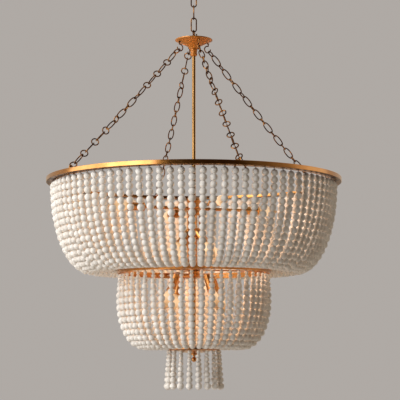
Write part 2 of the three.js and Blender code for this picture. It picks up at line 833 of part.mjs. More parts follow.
// Tier 2 hangs straight from the middle ring and turns in to the bottom dish
function addTierTwo() {
  const stripBottomZ = tierTwoTopZ - hangStripThickness;
  const reach = midHangRadius - tierTwoTurnRadius;
  const turnShares = [0, 0.36, 0.7, 1];
  const sizeShares = [1, 0.96, 0.8, 0.62];
  const stations = [
    [midHangRadius, stripBottomZ, smallBeadRadius],
    [midHangRadius, stripBottomZ - tierTwoFirstDrop, beadRadius],
  ];
  turnShares.forEach((share, k) => {
    const turn = quarterTurn * share;
    const radius = tierTwoTurnRadius + reach * Math.cos(turn);
    const z = stripBottomZ - tierTwoStraight - tierTwoTurnFall * Math.sin(turn);
    stations.push([radius, z, beadRadius * sizeShares[k]]);
  });
  const lowestZ = stripBottomZ - tierTwoStraight - tierTwoTurnFall;
  stations.push(lastStation(tierTwoTurnRadius, dishRadius, lowestZ, tierTwoRise, smallBeadRadius));
  const strip = {
    inner: midHangRadius - midStripWidth / 2,
    outer: midHangRadius + midStripWidth / 2,
    cell: midStripWidth,
    top: tierTwoTopZ,
    bottom: stripBottomZ,
  };
  addCurtain('tier_2_strands', tierTwoCount, tierTwoSectors, tierTwoTurn, strip, stations);
}

// Tier 3 is a ring of tassels under the dish, in groups that swing on their hanging wire
function addTierThree() {
  const wireBottomZ = tasselTopZ - tasselWire;
  const fallShares = [0, 0.06, 0.5, 1];
  const sizeShares = [0.3, 0.42, 0.72, 1];
  const stations = fallShares.map((share, k) => [
    tasselHangRadius + tasselSplay * share,
    wireBottomZ - tasselLength * share,
    beadRadius * sizeShares[k],
  ]);
  const strip = {
    inner: tasselHangRadius - tasselWire / 2,
    outer: tasselHangRadius + tasselWire / 2,
    cell: smallBeadRadius,
    top: tasselTopZ,
    bottom: wireBottomZ,
  };
  addCurtain('tassel_strands', tierThreeCount, tierThreeSectors, 0, strip, stations);
}

// A lamp: a sleeve with its bore, and a bulb, both drawn along +Z from the sleeve's closed end
function sleeveShape() {
  const floor = sleeveLength - sleeveBoreDepth;
  const bore = bulbBaseRadius + seatGap;
  return turned([
    [0, 0],
    [sleeveRadius, 0],
    [sleeveRadius, sleeveLength],
    [bore, sleeveLength],
    [bore, floor],
    [0, floor],
  ], lampSides);
}

function bulbShape() {
  const glassShares = [[0.83, 0.1], [1, 0.34], [0.94, 0.55], [0.6, 0.8], [0, 1]];
  const glassPoints = glassShares.map(([r, d]) => [r * bulbRadius, sleeveLength + d * bulbGlassLength]);
  return turned([
    [0, sleeveLength - bulbBaseLength],
    [bulbBaseRadius, sleeveLength - bulbBaseLength],
    [bulbBaseRadius, sleeveLength],
    ...glassPoints,
  ], lampSides);
}

// Lays a lamp piece out from [radius, z], tilted down from level, at one azimuth
function laid(geometry, radius, z, tiltDown, azimuth) {
  const placed = geometry.clone();
  placed.rotateX(quarterTurn + THREE.MathUtils.degToRad(tiltDown));
  placed.translate(0, -radius, z);
  return turnedTo(placed, azimuth);
}

function lampSet(firstAzimuth, radius, z, tilt, prefix) {
  const sleeves = [];
  for (let k = 0; k < lampsPerFrame; k += 1) {
    const azimuth = firstAzimuth + 360 / lampsPerFrame * k;
    sleeves.push(laid(sleeveShape(), radius, z, tilt, azimuth));
    put(`${prefix}_bulb_${k + 1}`, laid(bulbShape(), radius, z, tilt, azimuth), glass);
  }
  return sleeves;
}

function arms(firstAzimuth, reach, z) {
  const made = [];
  for (let k = 0; k < lampsPerFrame; k += 1) {
    const arm = rod(armRadius, armSocketRadius, reach, wireSides);
    made.push(laid(arm, 0, z, 0, firstAzimuth + 360 / lampsPerFrame * k));
  }
  return made;
}

function boredForStem(solid, bottom, top) {
  return solid.subtract(toSolid(rod(stemBoreRadius, bottom - cutOverrun, top + cutOverrun, turnedSides)));
}

// Upper lamps: four level arms from a turned body
function addUpperLamps() {
  const armZ = topRingZ - upperArmDrop;
  const frame = joined([
    rod(upperBodyRadius, upperBodyBottomZ, upperBodyTopZ, turnedSides),
    ...arms(lampAzimuth, upperSleeveStart + jointSink, armZ),
    ...lampSet(lampAzimuth, upperSleeveStart, armZ, 0, 'upper'),
  ]);
  putSolid('upper_lamp_frame', boredForStem(frame, upperBodyBottomZ, upperBodyTopZ), gold);
}

// Middle lamps: four sleeves round a small hub, on a cage of thin rods
function addMiddleLamps() {
  const hubBottomZ = middleHubTopZ - middleHubHeight;
  const cageTopZ = upperBodyBottomZ - seatGap;
  const cageBottomZ = spiderTopZ + seatGap;
  const parts = [rod(middleHubRadius, hubBottomZ, middleHubTopZ, turnedSides)];
  for (let k = 0; k < lampsPerFrame; k += 1) {
    const cageRod = rod(cageRodRadius, cageBottomZ, cageTopZ, wireSides);
    cageRod.translate(0, -cageRodCircle, 0);
    parts.push(turnedTo(cageRod, lampAzimuth + 360 / lampsPerFrame * k));
  }
  const startZ = topRingZ - middleSleeveDrop;
  parts.push(...lampSet(lowerLampAzimuth, middleSleeveStart, startZ, middleLampTilt, 'middle'));
  putSolid('middle_lamp_frame', boredForStem(joined(parts), hubBottomZ - sleeveLength, middleHubTopZ), gold);
}

// Lower lamps: four short arms under the spider, with sleeves that point down and out
function addLowerLamps() {
  const hubTopZ = spiderBottomZ - seatGap;
  const hubBottomZ = hubTopZ - lowerHubHeight;
  const armZ = topRingZ - lowerArmDrop;
  const frame = joined([
    rod(lowerHubRadius, hubBottomZ, hubTopZ, turnedSides),
    ...arms(lowerLampAzimuth, lowerSleeveStart, armZ),
    ...lampSet(lowerLampAzimuth, lowerSleeveStart, armZ, lowerLampTilt, 'lower'),
  ]);
  putSolid('lower_lamp_frame', boredForStem(frame, hubBottomZ, hubTopZ), gold);
}

addCeilingFittings();
addCeilingChain();
addHub();
addStem();
addHooks();
hookAzimuths.forEach((azimuth, k) => addChain(k));
addTopRing();
addMiddleRing();
addDishAndFinial();
addTierOne();
addTierTwo();
addTierThree();
addUpperLamps();
addMiddleLamps();
addLowerLamps();

export default chandelier;
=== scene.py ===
"""The looks of a three-tier beaded chandelier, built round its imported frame. Metres, +Z up.

Azimuth 0 is the front (-Y), and azimuths grow towards +X, as in the frame.
"""

import math
import random
import bpy
import bmesh
import numpy as np
from mathutils import Matrix, Vector


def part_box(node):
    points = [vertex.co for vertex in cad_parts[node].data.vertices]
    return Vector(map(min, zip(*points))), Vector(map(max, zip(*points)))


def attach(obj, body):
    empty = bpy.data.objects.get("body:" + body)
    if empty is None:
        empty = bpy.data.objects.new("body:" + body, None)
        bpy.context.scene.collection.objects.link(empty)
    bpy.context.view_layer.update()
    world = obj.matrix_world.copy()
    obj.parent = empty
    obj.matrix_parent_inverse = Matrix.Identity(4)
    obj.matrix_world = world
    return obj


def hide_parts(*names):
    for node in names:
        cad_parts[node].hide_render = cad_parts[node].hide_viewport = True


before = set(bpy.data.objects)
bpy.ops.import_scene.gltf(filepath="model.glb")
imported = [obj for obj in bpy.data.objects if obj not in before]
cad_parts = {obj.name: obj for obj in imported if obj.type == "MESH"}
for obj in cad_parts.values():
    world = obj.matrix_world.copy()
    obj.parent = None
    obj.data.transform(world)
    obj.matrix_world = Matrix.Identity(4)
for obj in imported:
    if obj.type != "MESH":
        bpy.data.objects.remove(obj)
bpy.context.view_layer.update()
rng = random.Random(41)

# Levels and radii that the frame gives
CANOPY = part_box("canopy")
HUB_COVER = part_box("hub_cover")
HUB_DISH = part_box("hub_dish")
TOP_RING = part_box("top_ring")
MIDDLE_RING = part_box("middle_ring")
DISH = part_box("bottom_dish")
MIDDLE_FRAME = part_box("middle_lamp_frame")
LOWER_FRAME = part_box("lower_lamp_frame")

# Ceiling fittings and hub
STRAP_SCREW_RADIUS = 0.0042
STRAP_SCREW_SPREAD = 0.040
CANOPY_WALL = 0.0015
CANOPY_HOLE = 0.014
COLLAR_RADIUS = 0.013
COLLAR_TOP = 0.008
COLLAR_DROP = 0.010
NIPPLE_RADIUS = 0.005
EYE_WIRE = 0.0044
CEILING_EYE_RADIUS = 0.0098
HUB_EYE_RADIUS = 0.008
HUB_EYE_AZIMUTH = 72
HUB_WALL = 0.002
HUB_RIM = 0.0025
GLAND_NECK = 0.010          # how far the cord gland's soft neck stands above its solid
STEM_BORE = 0.0063

# Suspension chains
CHAIN_WIRE = 0.004
RING_LINK = 0.0272
OVAL_LINK_WIDTH = 0.021
RING_LINKS = 11
CHAIN_SAG = 0.006
CHAIN_UNEVENNESS = 7        # degrees that a link may lie turned by chance
# How far each chain's rings are turned from facing the front: (share of the way down, degrees)
CHAIN_TURNS = (
    ((0, 50), (0.1, 14), (0.28, 8), (0.42, 78), (0.55, 100), (0.68, 166), (0.85, 182), (1, 225)),
    ((0, 84), (0.2, 76), (0.35, 40), (0.45, 10), (0.9, -4), (1, 40)),
    ((0, 82), (0.5, 92), (1, 99)),
    ((0, 0), (0.13, 6), (0.25, 76), (0.9, 95), (1, 60)),
)
HOOK_RADIUS = 0.0115
HOOK_AXIS_RADIUS = 0.050
HOOK_DROP = 0.030
HOOK_AZIMUTHS = (-70, 20, 110, 200)
LUG_AZIMUTHS = (-54, 17, 118, 196)
LUG_EYE_RADIUS = 0.006
LUG_AXIS_RADIUS = 0.4885
LUG_RISE = 0.010
CLIP_WIRE_RADIUS = 0.0014   # the bent wire that holds each lug down through the flange
# One leg of the clip: (sideways from the lug, up from the ring's middle)
CLIP_LEG = ((0.0005, 0.0175), (0.006, 0.0125), (0.011, 0.004), (0.014, -0.006), (0.0155, -0.012),
            (0.0175, -0.0145), (0.019, -0.0115))

# Rings and dish
TOP_BAND_HEIGHT = 0.014
BAND_THICKNESS = 0.003
BAND_HOLE_RADIUS = 0.0024
TOP_FLANGE_RADIUS = 0.466
FLANGE_THICKNESS = 0.0025
SPIDER_WIDTH = 0.016
SPIDER_THICKNESS = 0.004
SPIDER_DROP = 0.003
SPIDER_HUB_RADIUS = 0.022
DISH_RIM_HEIGHT = 0.014
DISH_WALL = 0.0025

# Beads
BEAD_RADIUS = 0.0122
BEAD_SPACING = 0.925        # centre to centre, as a share of a bead's width
BEAD_FLAT_SHARE = 0.94      # where its flat ends lie, as a share of its radius
BEAD_SIZE_SHARES = (0.975, 1.015)
BEAD_LOOK_AHEAD = 0.002     # along the strand, to find which way a bead faces
TIER_ONE_COUNT = 88
TIER_ONE_SECTORS = 8
TIER_ONE_START = 1.46       # degrees from the front to the first sector
TIER_ONE_DROP = 0.002
TIER_ONE_HANG = 0.475
TIER_ONE_BELLY = 0.350
TIER_ONE_FALL = 0.2965
TIER_ONE_RISE = 0.007
TIER_TWO_COUNT = 48
TIER_TWO_SECTORS = 4
TIER_TWO_START = 2.0
TIER_TWO_HANG = 0.250
TIER_TWO_STRAIGHT = 0.087
TIER_TWO_TURN = 0.165
TIER_TWO_FALL = 0.159
TIER_TWO_RISE = 0.007
TASSEL_COUNT = 18
TASSEL_SECTORS = 6
TASSEL_HANG = 0.085
TASSEL_SPLAY = 0.005
TASSEL_WIRE_RADIUS = 0.0012
TASSEL_WIRE_DROP = 0.0015
TASSEL_GAP = 0.4            # degrees from a wire's end to the edge of its sector
WIRE_RADIUS = 0.0006
WIRE_EYE_RADIUS = 0.0024    # the eye that a strand's wire is bent to where it hangs

# Lamps
LAMPS = 4
SLEEVE_RADIUS = 0.015
SLEEVE_LENGTH = 0.060
SLEEVE_BORE = 0.012
SLEEVE_BORE_DEPTH = 0.030
BULB_RADIUS = 0.0175
BULB_GLASS = 0.072
BULB_BASE_RADIUS = 0.0117
BULB_BASE_LENGTH = 0.026
ARM_RADIUS = 0.0055
ARM_SOCKET = 0.012
UPPER_BODY_RADIUS = 0.025
UPPER_BODY_HEIGHT = 0.060
UPPER_SLEEVE_START = 0.175
UPPER_AZIMUTH = 20
LOWER_AZIMUTH = 37
CAGE_ROD_RADIUS = 0.003
CAGE_CIRCLE = 0.021
MIDDLE_HUB_RADIUS = 0.026
MIDDLE_HUB_HEIGHT = 0.030
MIDDLE_SLEEVE_START = 0.020
MIDDLE_TILT = 45
LOWER_HUB_RADIUS = 0.020
LOWER_HUB_HEIGHT = 0.026
LOWER_SLEEVE_START = 0.073
LOWER_TILT = 65
BULB_WATTS = {"upper": 0.76, "middle": 0.54, "lower": 0.24}
BULB_COLOUR = (1.0, 0.55, 0.27)
GLOW_MIDDLE_SHARE = 0.36    # how far up the glass the filament glows
GLOW_REACH_SHARE = 0.42     # and how far round it, as shares of its length
GLOW_PEAK = 1.15

# Heights worked out from the frame
HUB_RIM_Z = HUB_DISH[1].z
TOP_FLANGE_Z = TOP_RING[0].z
TOP_RING_Z = TOP_FLANGE_Z + TOP_BAND_HEIGHT / 2
MIDDLE_TOP_Z = MIDDLE_RING[1].z
MIDDLE_BOTTOM_Z = MIDDLE_RING[0].z
SPIDER_TOP_Z = MIDDLE_TOP_Z - SPIDER_DROP
SPIDER_BOTTOM_Z = SPIDER_TOP_Z - SPIDER_THICKNESS
DISH_RIM_Z = DISH[1].z
DISH_RIM_BOTTOM_Z = DISH_RIM_Z - DISH_RIM_HEIGHT
UPPER_ARM_Z = TOP_RING_Z - 0.093
MIDDLE_SLEEVE_Z = TOP_RING_Z - 0.175
MIDDLE_HUB_TOP_Z = TOP_RING_Z - 0.160
UPPER_BODY_TOP_Z = TOP_RING_Z - 0.057
LOWER_ARM_Z = TOP_RING_Z - 0.322

# Faceting of the finished surfaces
RING_SEGMENTS = 192
TURNED_SEGMENTS = 64
SMALL_SEGMENTS = 32
FINE_SEGMENTS = 96
STUD_SEGMENTS = 24
WIRE_SIDES = 12
THREAD_SIDES = 6
LINK_STEPS = 28
LONG_LINK_STEPS = 40
EYE_STEPS = 32
DOME = [math.radians(a) for a in (25, 50, 72)]   # the rings that round off the end of a wire
BEAD_SEGMENTS = 14
BEAD_RINGS = 9
SHARP_ANGLE = math.radians(38)


class Shape:
    """Points and faces of one form in the row frame."""

    def __init__(self, points, faces):
        self.points = np.asarray(points, float).reshape(-1, 3)
        self.faces = faces

    def placed(self, matrix):
        m = np.array(matrix, float)
        return Shape(self.points @ m[:3, :3].T + m[:3, 3], self.faces)

    def moved(self, x, y, z):
        return Shape(self.points + np.array([x, y, z]), self.faces)

    def at_azimuth(self, azimuth):
        return self.placed(spun(azimuth))


def gathered(shapes):
    points, faces, count = [], [], 0
    for shape in shapes:
        points.append(shape.points)
        faces.extend([i + count for i in face] for face in shape.faces)
        count += len(shape.points)
    return Shape(np.vstack(points), faces)


def spun(degrees, axis="Z"):
    return Matrix.Rotation(math.radians(degrees), 4, axis)


def up(z):
    return Vector((0, 0, z))


def heading(azimuth):
    turn = math.radians(azimuth)
    return Vector((math.sin(turn), -math.cos(turn), 0))


def rounded(corners, reach, steps=3, closed=False):
    """The outline with each corner replaced by a small curve."""
    corners = [Vector((*c, 0)) for c in corners]
    result = []
    for i, corner in enumerate(corners):
        if not closed and i in (0, len(corners) - 1):
            result.append((corner.x, corner.y))
            continue
        before = corners[i - 1] - corner
        after = corners[(i + 1) % len(corners)] - corner
        a = corner + before.normalized() * min(reach, before.length * 0.45)
        b = corner + after.normalized() * min(reach, after.length * 0.45)
        for k in range(steps + 1):
            t = k / steps
            spot = a * (1 - t) ** 2 + corner * 2 * t * (1 - t) + b * t * t
            result.append((spot.x, spot.y))
    return result


def eased(points, steps=5):
    """A smooth line through the points."""
    p = [np.array(points[0], float), *[np.array(q, float) for q in points], np.array(points[-1], float)]
    result = []
    for i in range(1, len(p) - 2):
        for k in range(steps):
            t = k / steps
            spot = 2 * p[i] + (p[i + 1] - p[i - 1]) * t
            spot = spot + (2 * p[i - 1] - 5 * p[i] + 4 * p[i + 1] - p[i + 2]) * t * t
            spot = spot + (3 * p[i] - p[i - 1] - 3 * p[i + 1] + p[i + 2]) * t ** 3
            result.append(tuple(spot / 2))
    result.append(tuple(p[-2]))
    return result


def skin(rings, closed):
    """The faces between rings of point numbers. A ring of one point is a tip."""
    faces = []
    for a, b in zip(rings, rings[1:] + (rings[:1] if closed else [])):
        count = max(len(a), len(b))
        for s in range(count):
            t = (s + 1) % count
            if len(a) > 1 and len(b) > 1:
                faces.append([a[s], a[t], b[t], b[s]])
            elif len(a) > 1:
                faces.append([a[s], a[t], b[0]])
            elif len(b) > 1:
                faces.append([a[0], b[t], b[s]])
    return faces


def turned(profile, segments=TURNED_SEGMENTS, closed=False, flutes=0, flute_depth=0.0):
    """A form turned about Z from (radius, z) points. A point on the axis closes its end."""
    points, rings = [], []
    for radius, z in profile:
        if radius < 1e-7:
            rings.append([len(points)])
            points.append((0, 0, z))
            continue
        rings.append(list(range(len(points), len(points) + segments)))
        for s in range(segments):
            turn = 2 * math.pi * s / segments
            cut = flute_depth * (0.5 - 0.5 * math.cos(turn * flutes)) if flutes else 0
            points.append(((radius - cut) * math.cos(turn), (radius - cut) * math.sin(turn), z))
    return Shape(points, skin(rings, closed))


def collar(inner, outer, bottom, top, reach=0.0006, segments=TURNED_SEGMENTS, **fluting):
    corners = [(inner, bottom), (outer, bottom), (outer, top), (inner, top)]
    return turned(rounded(corners, reach, closed=True), segments, closed=True, **fluting)


def drum(radius, bottom, top, reach=0.001, segments=TURNED_SEGMENTS):
    return turned(rounded([(0, bottom), (radius, bottom), (radius, top), (0, top)], reach), segments)


def tube(path, radius, sides=WIRE_SIDES, closed=False):
    """A round wire along a path, with domed ends unless it is closed."""
    path = [Vector(p) for p in path]
    last = len(path) - 1
    radii = [radius] * len(path)
    tangents = []
    for i in range(len(path)):
        before = path[i - 1] if closed or i else path[0]
        after = path[(i + 1) % len(path)] if closed or i < last else path[last]
        tangents.append((after - before).normalized())
    side = tangents[0].orthogonal().normalized()
    if not closed:
        head, tail = tangents[0] * radius, tangents[-1] * radius
        path = ([path[0] - head * math.sin(a) for a in reversed(DOME)] + path
                + [path[-1] + tail * math.sin(a) for a in DOME])
        tips = [radius * math.cos(a) for a in DOME]
        radii = tips[::-1] + radii + tips
        tangents = tangents[:1] * len(DOME) + tangents + tangents[-1:] * len(DOME)
    points, rings = [], []
    for spot, reach, along in zip(path, radii, tangents):
        side = (side - along * side.dot(along)).normalized()
        across = along.cross(side)
        rings.append(list(range(len(points), len(points) + sides)))
        for s in range(sides):
            turn = 2 * math.pi * s / sides
            points.append(spot + side * (math.cos(turn) * reach) + across * (math.sin(turn) * reach))
    faces = skin(rings, closed)
    if not closed:
        faces += [rings[0][::-1], rings[-1]]
    return Shape([tuple(p) for p in points], faces)


def rod(radius, a, b, sides=WIRE_SIDES):
    a, b = Vector(a), Vector(b)
    inset = (b - a).normalized() * radius
    return tube([a + inset, b - inset], radius, sides)


def link(length, width, wire, steps=LINK_STEPS):
    """A welded chain link in the XZ plane, its long axis along Z."""
    radius = (width - wire) / 2
    shift = (length - width) / 2
    path = []
    for k in range(steps):
        turn = 2 * math.pi * (k + 0.5) / steps
        z = radius * math.sin(turn)
        path.append((radius * math.cos(turn), 0, z + math.copysign(shift, z)))
    return tube(path, wire / 2, closed=True)


def oval_link(length, width, wire, steps=LINK_STEPS):
    """An oval link in the XZ plane: fuller than an ellipse, with no straight side."""
    half_x, half_z = (width - wire) / 2, (length - wire) / 2
    path = []
    for k in range(steps):
        turn = 2 * math.pi * (k + 0.5) / steps
        x, z = math.cos(turn), math.sin(turn)
        x, z = math.copysign(abs(x) ** 0.88, x), math.copysign(abs(z) ** 0.94, z)
        path.append((x * half_x, 0, z * half_z))
    return tube(path, wire / 2, closed=True)


def bar(start, end, width, thickness, reach=0.0008):
    """A flat bar with softened edges between two level points, its width across and level."""
    start, end = Vector(start), Vector(end)
    along = (end - start).normalized()
    across = along.cross(up(1))
    w, t = width / 2, thickness / 2
    section = rounded([(-w, -t), (w, -t), (w, t), (-w, t)], reach, closed=True)
    points = [spot + across * x + up(z) for spot in (start, end) for x, z in section]
    n = len(section)
    faces = [[i, (i + 1) % n, n + (i + 1) % n, n + i] for i in range(n)]
    faces += [list(range(n))[::-1], list(range(n, 2 * n))]
    return Shape([tuple(p) for p in points], faces)


def pierced_band(inner, outer, bottom, top, count, hole_z, hole_radius):
    """A band with one round hole through it for each strand that hangs on it."""
    edge = [(-1, -1), (0, -1), (1, -1), (1, 0), (1, 1), (0, 1), (-1, 1), (-1, 0)]
    cell = math.pi / count
    points, faces = [], []
    for k in range(count):
        middle = (2 * k + 1) * cell
        base = len(points)
        for radius in (outer, inner):
            for x, z in edge:
                turn = middle + x * cell
                height = hole_z if z == 0 else (top if z > 0 else bottom)
                points.append((radius * math.sin(turn), -radius * math.cos(turn), height))
            for x, z in edge:
                reach = hole_radius / math.hypot(x, z)
                turn = middle + x * reach / outer
                points.append((radius * math.sin(turn), -radius * math.cos(turn), hole_z + z * reach))
        for i in range(8):
            j = (i + 1) % 8
            faces.append([base + i, base + j, base + 8 + j, base + 8 + i])
            faces.append([base + 16 + j, base + 16 + i, base + 24 + i, base + 24 + j])
            faces.append([base + 8 + i, base + 8 + j, base + 24 + j, base + 24 + i])
        for i, j in ((0, 1), (1, 2), (4, 5), (5, 6)):
            faces.append([base + i, base + 16 + i, base + 16 + j, base + j])
    return Shape(points, faces)


def shown(name, data):
    """A new object in the scene for a mesh, a light or a camera."""
    obj = bpy.data.objects.new(name, data)
    bpy.context.scene.collection.objects.link(obj)
    return obj


def enrolled(name, mesh, look, nodes, body):
    slot, material = look
    mesh.materials.append(material)
    obj = shown(name, mesh)
    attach(obj, body)
    if nodes:
        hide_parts(*nodes)
    return obj


def piece(name, shapes, look, *nodes, body="fixture"):
    """One named piece of the scene, riding on its body and standing for its CAD nodes."""
    shape = gathered(shapes)
    mesh = bpy.data.meshes.new(name)
    mesh.from_pydata(shape.points.tolist(), [], shape.faces)
    solid = bmesh.new()
    solid.from_mesh(mesh)
    bmesh.ops.remove_doubles(solid, verts=solid.verts, dist=1e-7)
    bmesh.ops.recalc_face_normals(solid, faces=solid.faces)
    solid.to_mesh(mesh)
    solid.free()
    mesh.shade_smooth()
    mesh.set_sharp_from_angle(angle=SHARP_ANGLE)
    return enrolled(name, mesh, look, nodes, body)


# Materials
class Finish:
    """A node material with a few short helpers."""

    def __init__(self, name):
        self.material = bpy.data.materials.new(name)
        self.material.use_nodes = True
        self.tree = self.material.node_tree
        self.shader = self.tree.nodes["Principled BSDF"]
        self.place = self.node("ShaderNodeTexCoord").outputs["Object"]

    def node(self, kind, **values):
        made = self.tree.nodes.new(kind)
        for key, value in values.items():
            setattr(made, key, value)
        return made

    def join(self, a, b):
        self.tree.links.new(a, b)

    def noise(self, vector, scale, detail=3.0, roughness=0.5):
        made = self.node("ShaderNodeTexNoise")
        made.inputs["Scale"].default_value = scale
        made.inputs["Detail"].default_value = detail
        made.inputs["Roughness"].default_value = roughness
        self.join(vector, made.inputs["Vector"])
        return made.outputs["Fac"]

    def stretched(self, vector, x, y, z):
        made = self.node("ShaderNodeMapping")
        made.inputs["Scale"].default_value = (x, y, z)
        self.join(vector, made.inputs["Vector"])
        return made.outputs["Vector"]

    def ramp(self, factor, *stops):
        made = self.node("ShaderNodeValToRGB")
        elements = made.color_ramp.elements
        while len(elements) < len(stops):
            elements.new(0.5)
        for element, (place, colour) in zip(elements, stops):
            element.position = place
            element.color = (*colour, 1) if hasattr(colour, "__len__") else (colour,) * 3 + (1,)
        self.join(factor, made.inputs["Fac"])
        return made.outputs["Color"]

    def mix(self, factor, a, b):
        made = self.node("ShaderNodeMix", data_type="RGBA")
        for value, socket in ((factor, made.inputs[0]), (a, made.inputs[6]), (b, made.inputs[7])):
            if isinstance(value, bpy.types.NodeSocket):
                self.join(value, socket)
            elif hasattr(value, "__len__"):
                socket.default_value = (*value, 1)
            else:
                socket.default_value = value
        return made.outputs[2]

    def bump(self, height, strength, distance):
        made = self.node("ShaderNodeBump")
        made.inputs["Strength"].default_value = strength
        made.inputs["Distance"].default_value = distance
        self.join(height, made.inputs["Height"])
        self.join(made.outputs["Normal"], self.shader.inputs["Normal"])

    def set(self, **values):
        for key, value in values.items():
            socket = self.shader.inputs[key.replace("_", " ")]
            if isinstance(value, bpy.types.NodeSocket):
                self.join(value, socket)
            else:
                socket.default_value = value
        return self.material


def metal(name, dark, middle, bright, patch_scale, rough, wear=0.5, brush=(1, 1, 6), metallic=1.0,
          lacquer=0.0):
    """A brushed metal whose tone drifts in patches, with fine marks in its gloss and worn flecks."""
    finish = Finish(name)
    patches = finish.noise(finish.place, patch_scale, 4.0, 0.55)
    tone = finish.ramp(patches, (0.32, dark), (0.50, middle), (0.68, bright))
    marks = finish.noise(finish.stretched(finish.place, *brush), 90.0, 3.0)
    gloss = finish.ramp(marks, (0.3, rough[0]), (0.7, rough[1]))
    if wear:
        flecks = finish.noise(finish.place, 150.0, 3.0)
        worn = finish.ramp(flecks, (0.55, 0.0), (0.80, wear))
        tone = finish.mix(worn, tone, bright)
        finish.bump(finish.noise(finish.place, 160.0, 2.0), 0.08 * wear, 0.0003)
    return finish.set(Base_Color=tone, Metallic=metallic, Roughness=gloss, Coat_Weight=lacquer,
                      Coat_Roughness=0.12)


def bead_finish():
    """Whitewashed wood: chalky paint, with the grain and bare wood showing in fine streaks."""
    finish = Finish("whitewashed_wood")
    local = finish.node("ShaderNodeAttribute", attribute_name="bead_place").outputs["Vector"]
    tint = finish.node("ShaderNodeAttribute", attribute_name="bead_tint").outputs["Fac"]
    grain = finish.noise(finish.stretched(local, 3.2, 3.2, 0.8), 2.2, 5.0, 0.62)
    streaks = finish.ramp(grain, (0.50, (0, 0, 0)), (0.66, (1, 1, 1)))
    specks = finish.noise(local, 7.5, 3.0, 0.7)
    pits = finish.ramp(specks, (0.60, (0, 0, 0)), (0.72, (1, 1, 1)))
    paint = finish.ramp(tint, (0.0, (0.66, 0.615, 0.56)), (0.5, (0.75, 0.715, 0.67)),
                        (1.0, (0.82, 0.79, 0.75)))
    washed = finish.mix(streaks, paint, finish.mix(0.45, paint, (0.50, 0.40, 0.29)))
    colour = finish.mix(pits, washed, (0.46, 0.37, 0.28))
    finish.bump(grain, 0.25, 0.0004)
    rough = finish.ramp(specks, (0.3, 0.52), (0.7, 0.78))
    return finish.set(Base_Color=colour, Roughness=rough, Specular_IOR_Level=0.35)


def bulb_finish():
    """A lit candle bulb: almost white at its middle and amber towards its base and tip."""
    finish = Finish("lit_glass")
    glow = finish.node("ShaderNodeAttribute", attribute_name="glow").outputs["Fac"]
    colour = finish.ramp(glow, (0.0, (0.90, 0.42, 0.15)), (0.45, (1.0, 0.62, 0.30)), (0.8, (1.0, 0.92, 0.76)))
    power = finish.node("ShaderNodeMapRange")
    power.inputs["To Min"].default_value = 0.14
    power.inputs["To Max"].default_value = 1.0
    finish.join(glow, power.inputs["Value"])
    return finish.set(Base_Color=(0.42, 0.34, 0.25, 1), Roughness=0.12, Emission_Color=colour,
                      Emission_Strength=power.outputs["Result"])


def plain_finish(name, dark, pale, scale, roughness, metallic=0.0):
    finish = Finish(name)
    tone = finish.ramp(finish.noise(finish.place, scale, 4.0), (0.35, dark), (0.65, pale))
    finish.bump(finish.noise(finish.place, scale * 6, 2.0), 0.1, 0.0002)
    return finish.set(Base_Color=tone, Roughness=roughness, Metallic=metallic)


# Each look is a slot name and the material that a piece has
gold = ("gold", metal("antique_gold", (0.49, 0.205, 0.047), (0.585, 0.262, 0.066), (0.68, 0.335, 0.098),
                      patch_scale=12.0, rough=(0.18, 0.26), wear=0.3, lacquer=0.6))
satin_gold = ("gold", metal("satin_gold", (0.36, 0.187, 0.060), (0.405, 0.215, 0.070), (0.45, 0.245, 0.082),
                            patch_scale=9.0, rough=(0.17, 0.22), wear=0, brush=(3, 3, 0.1)))
hub_gold = ("gold", metal("orange_gold", (0.40, 0.135, 0.014), (0.47, 0.165, 0.020), (0.54, 0.20, 0.030),
                          patch_scale=5.0, rough=(0.36, 0.44), wear=0, brush=(1, 1, 0.2), metallic=0.3))
bronze = ("bronze", metal("dark_bronze", (0.040, 0.014, 0.005), (0.095, 0.036, 0.011), (0.46, 0.22, 0.07),
                          patch_scale=50.0, rough=(0.28, 0.45)))
beads = ("beads", bead_finish())
lit_glass = ("glass", bulb_finish())
steel = ("steel", plain_finish("zinc_steel", (0.42, 0.42, 0.41), (0.60, 0.60, 0.58), 120.0, 0.42, 1.0))
plastic = ("plastic", plain_finish("grey_plastic", (0.42, 0.38, 0.34), (0.50, 0.46, 0.42), 200.0, 0.5))
brass_screw = ("gold", plain_finish("base_brass", (0.50, 0.38, 0.20), (0.66, 0.52, 0.30), 300.0, 0.3, 1.0))


